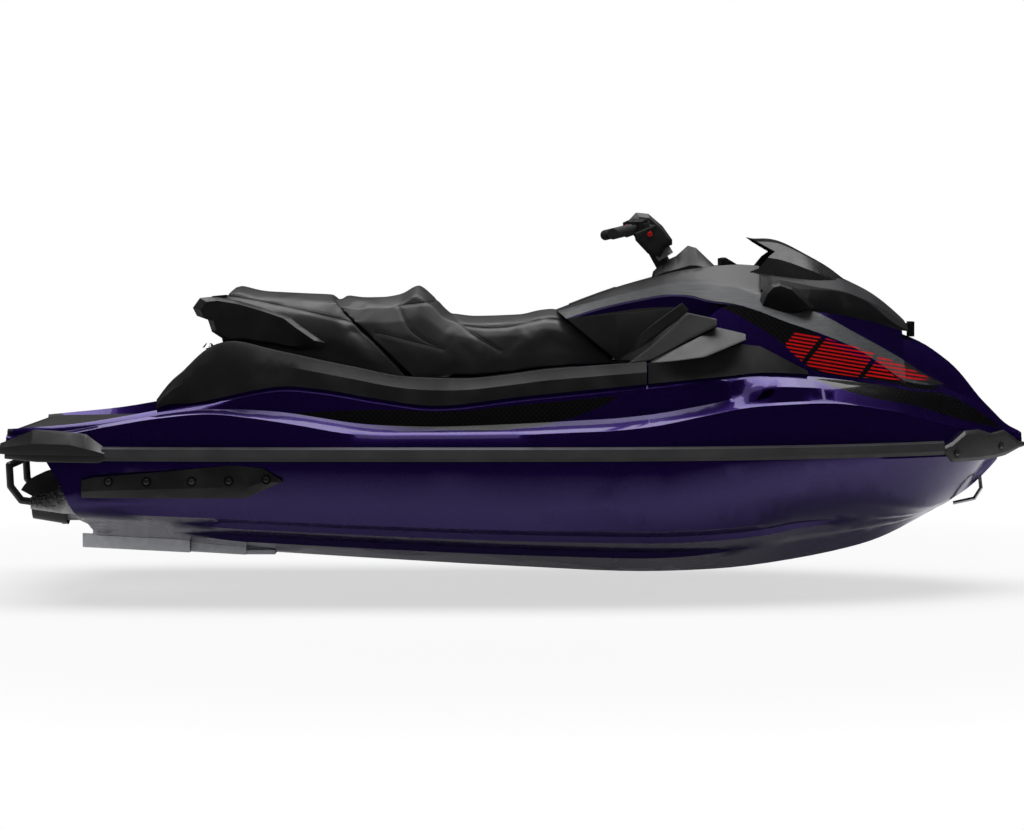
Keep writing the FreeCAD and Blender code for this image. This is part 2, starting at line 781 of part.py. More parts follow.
def seat_section(top):
    def section(x):
        foot = rim_z(x) - sink
        wide = seat_breadth(x)
        return mirrored([(wide, foot)] + [(wide * s, mix(foot, top(x), h)) for s, h in seat_break_shares])

    return section


def split_side(aft):
    """All the space behind the line between the seats, or ahead of it."""
    (x1, z1), (x2, z2) = outline(seat_split_shares)
    reach = -length_overall if aft else length_overall
    gap = -seat_gap / 2 if aft else seat_gap / 2
    slope = (x2 - x1) / (z2 - z1)
    low, high = 0, 2 * deck_height
    foot, head = x1 + (low - z1) * slope + gap, x1 + (high - z1) * slope + gap
    corners = [(foot, low), (head, high), (head + reach, high), (foot + reach, low)]
    return prism(corners, -half_beam, half_beam)


def seat_rear(below):
    body = loft(stations(seat_rear_span_shares, seat_rear_stations), seat_section(seat_rear_top))
    return clear_of(body.common(split_side(True)), below)


def seat_front(below):
    body = loft(stations(seat_front_span_shares, seat_front_stations), seat_section(seat_front_top))
    ahead = seat_space().translated(Vector(-seat_gap, 0, 0))
    return clear_of(body.common(split_side(False)).common(ahead), below)


# Moulded handle round the back of the seat, and the tow hook under it
grab_shares = [
    (-0.3039, 0.863), (-0.2912, 0.868), (-0.2679, 0.851), (-0.2435, 0.821), (-0.2162, 0.78), (-0.2046, 0.74),
    (-0.1821, 0.672), (-0.1851, 0.655), (-0.2065, 0.642), (-0.2309, 0.664), (-0.263, 0.683), (-0.2786, 0.681),
    (-0.2922, 0.719), (-0.2961, 0.77), (-0.3068, 0.787), (-0.3107, 0.821),
]
grab_inner = 170.0
grab_edge = 226.0
grab_outer = 244.0
grab_edge_share = 0.86
grab_rod_share = -0.3
grab_rod_height_share = 0.828
grab_rod_radius = 24.0
hook_share = -0.302
hook_radius = 9.0
hook_height = 40.0
hook_head = 22.0
hook_cap = 14.0


def grab_handle(below):
    points = outline(grab_shares)
    arm = stacked([(grab_inner, points), (grab_edge, points), (grab_outer, shrunk(points, grab_edge_share))])
    x, z = at(grab_rod_share), grab_rod_height_share * deck_height
    bar = rod((x, -grab_edge, z), (x, grab_edge, z), grab_rod_radius)
    return clear_of(bar.fuse([arm, port(arm)]), below)


def tow_hook(below):
    foot, height = at(hook_share), rim_z(at(hook_share))
    top = height + hook_height
    post = rod((foot, 0, height - hook_head), (foot, 0, top), hook_radius)
    head = Part.makeCone(hook_head, hook_radius, hook_cap, Vector(foot, 0, top))
    return post.fuse(head).cut(below)


# Black covers over the gunwales and the sides of the deck
cover_thickness = 7.0
cover_gap = 6.0
cover_span_shares = (-0.337, 0.128)
cover_stations = 20
cover_skirt = 60.0
cover_crease_share = 0.66
cover_crease = 8.0
side_cover_span_shares = (0.12, 0.29)
side_cover_stations = 12
side_cover_shares = [
    (0.1295, 0.502), (0.1295, 0.598), (0.179, 0.614), (0.219, 0.673), (0.238, 0.664), (0.2837, 0.56),
    (0.2856, 0.535), (0.2171, 0.502),
]

# Three lapped blades on each knee panel: rows of station, low and high shares of the height
blade_root = 150.0
blade_lifts = (13.0, 9.0, 5.0)
flare_shares = (0.13, 0.19)
upper_blade_shares = [
    (0.054, 0.745, 0.775), (0.1038, 0.605, 0.797), (0.14, 0.712, 0.812), (0.1693, 0.805, 0.823),
]
middle_blade_shares = [(0.1, 0.6, 0.62), (0.1359, 0.597, 0.71), (0.169, 0.68, 0.8), (0.1977, 0.745, 0.771)]
lower_blade_shares = [(0.128, 0.577, 0.6), (0.16, 0.598, 0.67), (0.1851, 0.615, 0.72), (0.2245, 0.695, 0.715)]


def gunwale_cover():
    t = cover_thickness

    def section(x):
        crest, rim, wall = flank(x)[-1], (rim_y(x), rim_z(x)), wall_y(x)
        crease = cover_crease_share
        return [
            (crest[0] + t, crest[1] + cover_gap),
            (mix(crest[0], rim[0], crease) + cover_crease + t, mix(crest[1], rim[1], crease)),
            (rim[0] + t, rim[1] - t),
            (rim[0], rim[1] + t),
            (wall + t / 2, rim[1] + t),
            (wall - t, rim[1] - t),
            (wall - t - footwell_lean, rim[1] - cover_skirt),
            (wall + t, rim[1] - cover_skirt),
            (crest[0] - 2 * t, crest[1] + cover_gap),
        ]

    return loft(stations(cover_span_shares, cover_stations), section)


def side_cover(below):
    t = cover_thickness

    def section(x):
        crest, rim = flank(x)[-1], (rim_y(x), rim_z(x))
        return [
            (crest[0] + t, crest[1] + cover_gap),
            (rim[0] + t, rim[1]),
            (rim[0] - t, rim[1]),
            (crest[0] - 2 * t, crest[1] + cover_gap),
        ]

    panel = loft(stations(side_cover_span_shares, side_cover_stations), section).cut(below)
    return panel.common(prism(outline(side_cover_shares), 0, half_beam))


def skin_y(x, z):
    """The breadth of the side at height z: the wall beside the knees, flaring out to the flank ahead."""
    def between(low, high):
        return mix(low[0], high[0], min(1, max(0, (z - low[1]) / (high[1] - low[1] + least_step))))

    rim = (rim_y(x), rim_z(x))
    wall = between((base_y(x), rim[1]), (band_y(x), band_z(x)))
    if z > rim[1]:
        return wall
    start, end = at(flare_shares[0]), at(flare_shares[1])
    return mix(wall, between(flank(x)[-1], rim), min(1, max(0, (x - start) / (end - start))))


def knee_panel(below):
    blades = []
    for lift, rows in zip(blade_lifts, (upper_blade_shares, middle_blade_shares, lower_blade_shares)):
        slices = []
        for station, low, high in rows:
            x, foot, head = at(station), low * deck_height, high * deck_height
            corners = [
                (blade_root, foot),
                (skin_y(x, foot) + lift, foot),
                (skin_y(x, head) + lift, head),
                (blade_root, head),
            ]
            slices.append(polygon(x, corners))
        blades.append(Part.makeLoft(slices, True, True))
    return clear_of(blades[0].fuse(blades[1:]), below)


# Mats
mat_thickness = 8.0
mat_margin = 12.0
mat_span_shares = (-0.34, 0.07)
mat_stations = 12
platform_span_shares = (-0.47, -0.358)
platform_stations = 6


def footwell_mat():
    def section(x):
        inner, outer = base_y(x) + mat_margin, wall_y(x) - footwell_lean - mat_margin
        low, high = footwell_floor + fit_gap, footwell_floor + mat_thickness
        return [(inner, low), (outer, low), (outer, high), (inner, high)]

    return loft(stations(mat_span_shares, mat_stations), section)


def platform_mat():
    def section(x):
        edge, low, high = rim_y(x) - 2 * mat_margin, rim_z(x) - mat_thickness, rim_z(x) + mat_thickness
        return [(edge, low), (edge, high), (-edge, high), (-edge, low)]

    return loft(stations(platform_span_shares, platform_stations), section)


# Rub rail, bumpers and sponsons
rail_span_shares = (-0.3865, 0.42)
rail_stations = 26
rail_reach = 26.0
rail_foot = 12.0
rail_head = 32.0
rail_lip_share = 0.8
rail_edge_share = 0.7
cap_inner_share = 0.91
cap_lift = 4.0
cap_bevel = 26.0
stern_cap_rows = [
    (-0.487, 0.24, 0.264), (-0.4813, 0.25, 0.273), (-0.4532, 0.268, 0.322), (-0.4172, 0.265, 0.314),
    (-0.4018, 0.25, 0.307), (-0.383, 0.23, 0.25),
]
bow_cap_rows = [
    (0.4205, 0.203, 0.236), (0.4286, 0.165, 0.252), (0.4424, 0.166, 0.297), (0.4591, 0.168, 0.297),
    (0.4728, 0.172, 0.278), (0.4876, 0.182, 0.288), (0.5033, 0.21, 0.24), (0.512, 0.222, 0.23),
]
bow_cap_reach = 26.0
bow_cap_bevel = 12.0
sponson_rows = [
    (-0.4061, 0.047, 0.119), (-0.3939, 0.047, 0.132), (-0.329, 0.047, 0.156), (-0.2651, 0.047, 0.183),
    (-0.2491, 0.05, 0.178), (-0.235, 0.08, 0.172), (-0.2162, 0.113, 0.121),
]
sponson_reach = 30.0
sponson_root = 40.0
sponson_rise_share = 0.4
sponson_edge_share = 0.35
sponson_bevel = 7.0


def rub_rail(below):
    def section(x):
        edge, low = sheer_y(x), sheer_height - rail_foot
        return [
            (edge - rail_foot, low),
            (edge + rail_reach * rail_lip_share, low),
            (edge + rail_reach, sheer_height),
            (edge + rail_reach * rail_edge_share, sheer_height + rail_head * rail_lip_share),
            (edge, sheer_height + rail_head),
            (edge - rail_foot, sheer_height + rail_head),
        ]

    return clear_of(loft(stations(rail_span_shares, rail_stations), section), below)


def facets(rows, section):
    """A solid with flat facets through sections, one for each row of station, low and high."""
    slices = [polygon(at(s), section(at(s), low * deck_height, high * deck_height)) for s, low, high in rows]
    return Part.makeLoft(slices, True, True)


def stern_cap(below):
    def section(x, edge, head):
        outer, inner = sheer_y(x) + rail_reach, sheer_y(x) * cap_inner_share
        low = sheer_height + cap_lift
        return [(inner, low), (outer, low), (outer, edge), (outer - cap_bevel, head), (inner, head)]

    return clear_of(facets(stern_cap_rows, section), below)


def bow_cap(below):
    def section(x, foot, head):
        edge = sheer_y(x) + bow_cap_reach
        slim = min(bow_cap_bevel, (head - foot) / 3)
        half = [(edge - slim, foot), (edge, foot + slim), (edge, head - slim), (edge - slim, head)]
        return half + [(-y, z) for y, z in reversed(half)]

    return clear_of(facets(bow_cap_rows, section), below)


def sponson(below):
    def section(x, low, high):
        edge = mix(knuckle_y(x), sheer_y(x), sponson_rise_share) + sponson_reach
        root = edge - sponson_root - sponson_reach
        return [
            (root, low),
            (edge - sponson_bevel, low),
            (edge, mix(low, high, sponson_edge_share)),
            (edge - sponson_bevel, high),
            (root, high),
        ]

    return facets(sponson_rows, section).cut(below)


# Ride plate and intake grate close the tunnel from below
plate_span_shares = (-0.424, -0.318)
plate_drop = 6.0
plate_rise = 46.0
plate_thickness = 9.0
plate_half_width = 128.0
grate_bars = 5
grate_bar_width = 9.0
grate_margin = 13.0
grate_rise = 34.0
grate_span_shares = (-0.318, -0.2638)
grate_tongue = 14.0


def tray(span_shares, half_width, rise):
    """A shallow tray along the keel, open above."""
    back, front = at(span_shares[0]), at(span_shares[1])
    low = [(back, keel_z(back) - plate_drop), (front, keel_z(front) - plate_drop)]
    whole = prism(low + [(front, low[1][1] + rise), (back, low[0][1] + rise)], -half_width, half_width)
    inner = half_width - plate_thickness
    floor = [(x, z + plate_thickness) for x, z in low]
    return whole.cut(prism(floor + [(front, 0), (back, 0)], -inner, inner))


def ride_plate(below):
    return clear_of(tray(plate_span_shares, plate_half_width, plate_rise), [below])


def intake_grate(below):
    back, front = at(grate_span_shares[0]), at(grate_span_shares[1])
    half = intake_half_width + grate_margin
    slot = (2 * intake_half_width - grate_bar_width * (grate_bars + 1)) / grate_bars
    tip = at(intake_front_share)
    foot = keel_z(tip)
    profile = [(front, foot), (tip, foot), (tip, foot + grate_tongue), (front, foot + grate_tongue)]
    tongue = prism(profile, -intake_half_width, intake_half_width)
    slots = []
    for n in range(grate_bars):
        left = -intake_half_width + grate_bar_width + n * (slot + grate_bar_width)
        slots.append(box((back + grate_margin, left, -below_keel), (tip - grate_margin, left + slot, 0)))
    return clear_of(tray(grate_span_shares, half, grate_rise).fuse(tongue), slots + [below])


# Jet pump: housing with stator, impeller on its shaft, steering nozzle and reverse bucket
pump_back_share = -0.408
outlet_share = -0.435
stator_share = 0.35
hub_radius = 32.0
stator_vanes = 7
vane_thickness = 5.0
vane_root = 5.0
impeller_radius = 80.0
impeller_blades = 4
blade_pitch_degrees = 55.0
blade_reach_share = 0.55
impeller_length = 80.0
impeller_gap = 2.0
outlet_radius = 44.0
outlet_wall = 6.0
outlet_reach = 33.0
nozzle_pivot_share = -0.4475
nozzle_tip_share = -0.478
nozzle_wall = 5.0
nozzle_clear = 13.0
mouth_reach = 14.0
pivot_lug = 10.0
pin_reach = 18.0
pivot_radius = 8.0
engine_clear = 15.0


def cone(x1, r1, x2, r2):
    if r1 == r2:
        return Part.makeCylinder(r1, x2 - x1, Vector(x1, 0, drive_height), Vector(1, 0, 0))
    return Part.makeCone(r1, r2, x2 - x1, Vector(x1, 0, drive_height), Vector(1, 0, 0))


def pump_housing(below):
    back, front, outlet = at(pump_back_share), at(tunnel_front_share), at(outlet_share)
    outer, slim, end = duct_radius + duct_wall, outlet_radius + outlet_wall, outlet - outlet_reach
    outlets = [cone(outlet, slim, back, outer), cone(end, slim, outlet, slim)]
    outside = cone(back, outer, front, outer).fuse(outlets)
    inside = [
        cone(back, duct_radius, front, duct_radius),
        cone(outlet, outlet_radius, back, duct_radius),
        cone(end, outlet_radius, outlet, outlet_radius),
    ]
    shell = outside.cut(inside)
    middle = mix(back, front, stator_share)
    hub = cone(back, hub_radius, middle, hub_radius)
    vanes = []
    for n in range(stator_vanes):
        half = vane_thickness / 2
        vane = box((back, -half, hub_radius - vane_root), (middle, half, duct_radius + vane_root))
        vane.translate(Vector(0, 0, drive_height))
        vane.rotate(Vector(0, 0, drive_height), Vector(1, 0, 0), 360 * n / stator_vanes)
        vanes.append(vane)
    bearing = cone(middle - hub_radius, shaft_radius + bearing_play, middle, shaft_radius + bearing_play)
    corner = (front - 2 * duct_wall, -tunnel_half_width, drive_height - outer)
    flange = box(corner, (front, tunnel_half_width, tunnel_roof))
    pivot = at(nozzle_pivot_share)
    lugs = []
    for side in (-1, 1):
        start, stop = drive_height + side * outlet_radius, drive_height + side * (outlet_radius + pivot_lug)
        near, far = sorted((start, stop))
        lugs.append(box((pivot - pivot_lug, -pivot_lug, near), (outlet + pivot_lug, pivot_lug, far)))
        tip = drive_height + side * (outlet_radius + pivot_lug / 2 + pin_reach)
        lugs.append(rod((pivot, 0, (near + far) / 2), (pivot, 0, tip), pivot_radius))
    return shell.fuse([hub, flange.cut(inside[0])] + vanes + lugs).cut([bearing, below])


def impeller():
    back, front = at(pump_back_share), at(tunnel_front_share)
    middle = mix(back, front, stator_share)
    start = middle + impeller_gap
    end = start + impeller_length
    blades = []
    for n in range(impeller_blades):
        half, reach = vane_thickness / 2, impeller_length * blade_reach_share
        blade = box((-half, -reach, hub_radius - vane_root), (half, reach, impeller_radius))
        blade.rotate(Vector(0, 0, 0), Vector(0, 0, 1), blade_pitch_degrees)
        blade.translate(Vector((start + end) / 2, 0, drive_height))
        blade.rotate(Vector(0, 0, drive_height), Vector(1, 0, 0), 360 * n / impeller_blades)
        blades.append(blade)
    turned = Part.makeCompound(blades).common(cone(start, impeller_radius, end, impeller_radius))
    hub = cone(start, hub_radius, end, hub_radius)
    nose = cone(end, hub_radius, end + hub_radius, shaft_radius)
    tail = middle - hub_radius + impeller_gap
    shaft = cone(tail, shaft_radius, at(engine_back_share) + engine_clear, shaft_radius)
    return shaft.fuse([hub, nose] + turned.Solids)


def nozzle():
    pivot, tip = at(nozzle_pivot_share), at(nozzle_tip_share)
    wide, slim = outlet_radius + outlet_wall + nozzle_clear, outlet_radius
    mouth = pivot + mouth_reach
    outside = cone(tip, slim + nozzle_wall, mouth, wide + nozzle_wall)
    inside = cone(tip, slim, mouth, wide)
    foot, head = drive_height - 2 * wide, drive_height + 2 * wide
    holes = rod((pivot, 0, foot), (pivot, 0, head), pivot_radius + bearing_play)
    reach = bucket_half_width + 2 * bucket_wall
    pins = across(bucket_pin_radius, -reach, reach)
    return outside.fuse(pins).cut([inside, holes])


bucket_half_width = 72.0
bucket_wall = 6.0
bucket_radius = 105.0
bucket_pin_radius = 6.0
bucket_boss = 16.0
bucket_pivot_share = -0.4575
wedge_corners = 4
scoop_degrees = (35, 125)
cheek_degrees = (28, 132)


def bucket_pivot():
    return Vector(at(bucket_pivot_share), 0, drive_height)


def wedge(first, last):
    """The space between two angles round the bucket's pivot, counted up from straight astern."""
    pivot, far = bucket_pivot(), 2 * bucket_radius
    angles = [math.radians(a) for a in spread(first, last, wedge_corners)]
    points = [(pivot.x, pivot.z)] + [(pivot.x - far * math.cos(a), pivot.z + far * math.sin(a)) for a in angles]
    return prism(points, -half_beam, half_beam)


def across(radius, low_y, high_y):
    pivot = bucket_pivot()
    return rod((pivot.x, low_y, pivot.z), (pivot.x, high_y, pivot.z), radius)


def bucket():
    inner, outer = bucket_half_width, bucket_half_width + bucket_wall
    scoop = across(bucket_radius + bucket_wall, -outer, outer).cut(across(bucket_radius, -outer, outer))
    cheek = across(bucket_radius + bucket_wall, inner, outer).common(wedge(*cheek_degrees))
    cheek = cheek.fuse(across(bucket_boss, inner, outer))
    hole = across(bucket_pin_radius + bearing_play, -2 * outer, 2 * outer)
    return scoop.common(wedge(*scoop_degrees)).fuse([cheek, port(cheek)]).cut(hole)


# Boarding step and the bracket that carries it on the transom
step_path_shares = [(-0.466, -0.015), (-0.482, -0.005), (-0.4925, 0.055), (-0.4935, 0.145)]
step_half_width = 170.0
step_radius = 12.0
step_boss_radius = 18.0
bracket_thickness = 10.0
bracket_play = 1.0
bracket_shares = [
    (-0.4, 0.14), (-0.4, -0.07), (-0.44, -0.06), (-0.472, -0.04), (-0.472, 0.01), (-0.445, 0.04), (-0.44, 0.14),
]
bridge_shares = [(-0.44, 0.11), (-0.44, 0.14), (-0.42, 0.14), (-0.42, 0.11)]


def step_path(side):
    return [(x, side * step_half_width, z) for x, z in outline(step_path_shares)]


def step_pins(radius, inner, outer):
    """A short bar on the step's axis at each side, from inner to outer."""
    x, z = outline(step_path_shares)[0]
    return [rod((x, side * inner, z), (x, side * outer, z), radius) for side in (-1, 1)]


def boarding_step():
    frame = tube(step_path(1) + step_path(-1)[::-1], step_radius)
    near, far = step_half_width - step_radius, step_half_width + step_radius
    bosses = step_pins(step_boss_radius, near, far)
    holes = step_pins(step_radius / 2 + bearing_play, near - step_radius, far + step_radius)
    return frame.fuse(bosses).cut(holes)


def step_bracket(below):
    """Two cheeks outside the step, joined across the transom above the pump."""
    inner = step_half_width + step_radius + bracket_play
    outer = inner + bracket_thickness
    cheek = prism(outline(bracket_shares), inner, outer)
    bridge = prism(outline(bridge_shares), -outer, outer)
    pins = step_pins(step_radius / 2, inner - 2 * step_radius - bracket_play, outer)
    return clear_of(bridge.fuse([cheek, port(cheek)] + pins), [below])


# Bow eye, vents, display and the engine
eye_shares = [(0.467, 0.085), (0.4685, 0.03), (0.462, -0.015), (0.441, -0.035)]
eye_radius = 6.0
display_shares = [(0.206, 0.98), (0.206, 1.03), (0.211, 1.035), (0.228, 0.99)]
display_half_width = 70.0
block_share = 0.6


def bow_eye(below):
    return tube([(x, 0, z) for x, z in outline(eye_shares)], eye_radius).cut(below)


def display(below):
    return prism(outline(display_shares), -display_half_width, display_half_width).cut(below)


def engine():
    back, front = at(engine_back_share) + engine_clear, at(engine_front_share) - engine_clear
    half = engine_half_width - engine_clear
    block = box((back, -half, engine_floor), (front, half, mix(engine_floor, engine_top, block_share)))
    head = box((back, -half / 2, engine_floor), (front, half / 2, engine_top - engine_clear))
    return block.fuse(head)


def build():
    parts = {"hull": hull(), "deck": deck()}
    shells = [parts["hull"], parts["deck"]]
    parts["upper_cowl"] = upper_cowl(parts["deck"])
    parts["hood"] = hood([parts["deck"], parts["upper_cowl"]])
    parts["hood_hinge"] = hood_hinge([parts["deck"]])
    over = [parts["hood"], parts["upper_cowl"]]
    parts["visor"] = visor(over)
    parts.update(pair("mirror", lambda: clear_of(mirror(), over)))
    parts["glovebox_lid"] = glovebox_lid()
    parts["steering_fin"] = steering_fin(parts["upper_cowl"])
    parts["handlebar"] = handlebar()
    parts["bar_pad"] = bar_pad(parts["handlebar"])
    parts.update(pair("grip", grip))
    parts["display"] = display(parts["upper_cowl"])
    parts["seat_rear"] = lifted(seat_rear([parts["deck"]]))
    parts["seat_front"] = lifted(seat_front([parts["deck"], parts["upper_cowl"]]))
    parts["grab_handle"] = grab_handle([parts["seat_rear"], parts["deck"]])
    parts["tow_hook"] = tow_hook(parts["deck"])
    parts.update(pair("gunwale_cover", lambda: beside(gunwale_cover(), parts["deck"])))
    parts.update(pair("side_cover", lambda: lifted(side_cover(parts["deck"]), 1)))
    around = [seat_space(), parts["deck"], parts["upper_cowl"]]
    parts.update(pair("knee_panel", lambda: lifted(knee_panel(around), 1)))
    parts.update(pair("footwell_mat", footwell_mat))
    parts["platform_mat"] = lifted(clear_of(platform_mat(), [parts["deck"]]), 0, loose_gap)
    parts.update(pair("rub_rail", lambda: rub_rail(shells)))
    rails = shells + [parts["rub_rail_left"], parts["rub_rail_right"]]
    under = [parts["deck"], parts["rub_rail_left"]]
    parts.update(pair("stern_cap", lambda: lifted(stern_cap(under), 1, loose_gap)))
    parts["bow_cap"] = bow_cap(rails)
    parts.update(pair("sponson", lambda: sponson(parts["hull"])))
    parts["ride_plate"] = ride_plate(parts["hull"])
    parts["intake_grate"] = intake_grate(parts["hull"])
    parts["pump_housing"] = pump_housing(parts["hull"])
    parts["impeller"] = impeller()
    parts["nozzle"] = nozzle()
    parts["bucket"] = bucket()
    parts["boarding_step"] = boarding_step()
    parts["step_bracket"] = step_bracket(parts["hull"])
    parts["bow_eye"] = bow_eye(parts["hull"])
    parts["engine"] = engine()
    return parts


os.makedirs("parts", exist_ok=True)
for name, shape in build().items():
    shape.exportStep("parts/" + name + ".step")
    print(name, round(shape.Volume / 1e6, 3), "litres", len(shape.Solids), shape.isValid())
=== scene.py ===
import json
import math

import bmesh
import bpy
import numpy as np
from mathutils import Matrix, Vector

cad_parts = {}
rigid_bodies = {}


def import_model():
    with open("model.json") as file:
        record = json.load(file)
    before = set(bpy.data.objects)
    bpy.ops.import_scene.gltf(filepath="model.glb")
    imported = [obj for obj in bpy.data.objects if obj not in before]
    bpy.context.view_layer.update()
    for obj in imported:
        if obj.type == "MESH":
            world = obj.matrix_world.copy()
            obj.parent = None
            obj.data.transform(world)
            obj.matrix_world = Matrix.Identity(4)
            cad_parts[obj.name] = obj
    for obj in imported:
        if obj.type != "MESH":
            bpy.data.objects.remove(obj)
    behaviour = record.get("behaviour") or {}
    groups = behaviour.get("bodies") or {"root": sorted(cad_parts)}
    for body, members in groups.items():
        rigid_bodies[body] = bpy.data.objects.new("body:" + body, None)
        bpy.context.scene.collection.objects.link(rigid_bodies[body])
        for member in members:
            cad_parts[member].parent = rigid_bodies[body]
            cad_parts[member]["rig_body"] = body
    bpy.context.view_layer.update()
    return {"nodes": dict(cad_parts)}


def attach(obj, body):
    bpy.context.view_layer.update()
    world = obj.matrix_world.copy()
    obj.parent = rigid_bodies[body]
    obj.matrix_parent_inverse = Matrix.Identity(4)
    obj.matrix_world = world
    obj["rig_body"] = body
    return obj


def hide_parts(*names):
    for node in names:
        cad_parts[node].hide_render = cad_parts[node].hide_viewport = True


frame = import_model()
nodes = frame["nodes"]

# ---------------------------------------------------------------- hull
# The hull is a moulded laminate shell, sprayed with a very deep metallic blue-violet and a
# clear coat over it. The flakes in the colour coat show only where it faces the light.

merge_distance = 0.00002
flat_within = 0.4
edge_bend = 22.0
paint_violet = (0.012, 0.002, 0.062, 1.0)
paint_flake = (0.06, 0.03, 0.22, 1.0)
flake_size = 0.0011
flake_fade = (0.1, 0.5)
paint_metal = 0.7
paint_shine = 0.1
coat_roughness = 0.05
coat_index = 1.36


def alone(piece):
    """Selects this piece and nothing else."""
    bpy.ops.object.select_all(action="DESELECT")
    piece.select_set(True)
    bpy.context.view_layer.objects.active = piece


def copied(name, ending, *materials, flatten=False):
    """A copy of a CAD node in other materials, with the corners of its facets merged."""
    piece = bpy.data.objects.new(name + ending, nodes[name].data.copy())
    bpy.context.scene.collection.objects.link(piece)
    piece.data.materials.clear()
    for material in materials:
        piece.data.materials.append(material)
    alone(piece)
    bpy.ops.mesh.customdata_custom_splitnormals_clear()
    bpy.ops.object.mode_set(mode="EDIT")
    bpy.ops.mesh.select_all(action="SELECT")
    bpy.ops.mesh.remove_doubles(threshold=merge_distance)
    if flatten:
        bpy.ops.mesh.dissolve_limited(angle_limit=math.radians(flat_within))
    bpy.ops.object.mode_set(mode="OBJECT")
    return piece


def rounded(piece, width, segments=3, bend=30.0):
    """Rounds the edges at which a piece bends by more than this many degrees."""
    rounding = piece.modifiers.new("rounded edges", "BEVEL")
    rounding.width = width
    rounding.segments = segments
    rounding.limit_method = "ANGLE"
    rounding.angle_limit = math.radians(bend)
    bpy.ops.object.modifier_apply(modifier=rounding.name)


def dressed(name, slot, *materials, angle=35.0, edge=0.0):
    """A smooth copy that stands for a CAD node. A faceted one gets rounded edges."""
    piece = copied(name, "_skin", *materials, flatten=edge > 0.0)
    if edge:
        rounded(piece, edge, bend=edge_bend)
    bpy.ops.object.shade_smooth_by_angle(angle=math.radians(angle))
    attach(piece, nodes[name]["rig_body"])
    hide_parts(name)
    return piece


def new_material(name):
    """A material with its shader, its node tree and the tree's Object coordinates."""
    material = bpy.data.materials.new(name)
    material.use_nodes = True
    tree = material.node_tree
    shader = tree.nodes["Principled BSDF"]
    place = tree.nodes.new("ShaderNodeTexCoord").outputs["Object"]
    return material, shader, tree, place


def noise(tree, place, size, detail=2.0):
    """Noise with lumps of about this size in metres."""
    node = tree.nodes.new("ShaderNodeTexNoise")
    node.inputs["Scale"].default_value = 1.0 / size
    node.inputs["Detail"].default_value = detail
    tree.links.new(place, node.inputs["Vector"])
    return node.outputs["Fac"]


def ramp(tree, value, low, high, start=0.3, end=0.7):
    """A value that goes from low to high as the input goes from start to end."""
    node = tree.nodes.new("ShaderNodeMapRange")
    node.inputs["From Min"].default_value = start
    node.inputs["From Max"].default_value = end
    node.inputs["To Min"].default_value = low
    node.inputs["To Max"].default_value = high
    tree.links.new(value, node.inputs["Value"])
    return node.outputs["Result"]


def two_tone(tree, value, first, second, start=0.3, end=0.7):
    """A colour that turns from the first to the second with the value."""
    node = tree.nodes.new("ShaderNodeValToRGB")
    stops = node.color_ramp.elements
    stops[0].position, stops[0].color = start, first
    stops[1].position, stops[1].color = end, second
    tree.links.new(value, node.inputs["Fac"])
    return node.outputs["Color"]


def bump(tree, shader, height, depth):
    """Raises the surface by the height's value times the depth in metres."""
    node = tree.nodes.new("ShaderNodeBump")
    node.inputs["Distance"].default_value = depth
    tree.links.new(height, node.inputs["Height"])
    tree.links.new(node.outputs["Normal"], shader.inputs["Normal"])


def metallic_paint(name):
    """Violet flake paint under clear coat. Returns what a film laid over it has to change."""
    material, shader, tree, place = new_material(name)
    cells = tree.nodes.new("ShaderNodeTexVoronoi")
    cells.inputs["Scale"].default_value = 1.0 / flake_size
    tree.links.new(place, cells.inputs["Vector"])
    colour = two_tone(tree, cells.outputs["Distance"], paint_flake, paint_violet, *flake_fade)
    rough = ramp(tree, noise(tree, place, 0.3), 0.24, 0.32)
    tree.links.new(colour, shader.inputs["Base Color"])
    tree.links.new(rough, shader.inputs["Roughness"])
    shader.inputs["Metallic"].default_value = paint_metal
    shader.inputs["Specular IOR Level"].default_value = paint_shine
    shader.inputs["Coat Weight"].default_value = 1.0
    shader.inputs["Coat Roughness"].default_value = coat_roughness
    shader.inputs["Coat IOR"].default_value = coat_index
    return material, shader, tree, place, colour


hull_paint = metallic_paint("deep violet hull paint")[0]
dressed("hull", "hull_paint", hull_paint, angle=32.0)

# ---------------------------------------------------------------- deck
# The deck is the hull's upper moulding in the same paint. Under its clear coat lie black films
# with a fine weave, a brushed grey band and a block of red stripes near the bow. The footwells
# and the seat's plinth are sprayed with a coarse black grip coat.

line_left, line_span = -1.7, 3.4
line_floor, line_rise = -0.3, 1.3
film_edge = 0.0008
film_black = (0.0035, 0.0035, 0.004, 1.0)
film_weave = (0.009, 0.009, 0.01, 1.0)
twill_size = 0.012
wave_period = 0.31
stripe_red = (0.55, 0.006, 0.008, 1.0)
bow_wedge_top = [
    (0.606, 0.658), (0.771, 0.627), (0.917, 0.578), (1.052, 0.502), (1.213, 0.427), (1.422, 0.363),
]
bow_wedge_foot = [
    (0.606, 0.658), (0.723, 0.607), (0.875, 0.51), (0.953, 0.441), (0.982, 0.426), (1.198, 0.391),
    (1.369, 0.357), (1.422, 0.363),
]
bow_film_top = [
    (0.954, 0.408), (1.162, 0.386), (1.317, 0.357), (1.422, 0.345), (1.522, 0.297), (1.63, 0.224),
]
bow_film_foot = [(0.954, 0.408), (1.126, 0.349), (1.309, 0.31), (1.446, 0.268), (1.63, 0.224)]
side_film_top = [
    (-0.698, 0.3), (-0.437, 0.312), (-0.177, 0.308), (-0.016, 0.323), (0.152, 0.338),
    (0.346, 0.356),
]
side_film_foot = [
    (-0.698, 0.3), (-0.415, 0.263), (-0.209, 0.25), (-0.054, 0.248), (0.152, 0.275),
    (0.346, 0.356),
]
band_top = [(1.24, 0.48), (1.296, 0.45), (1.35, 0.416), (1.425, 0.377)]
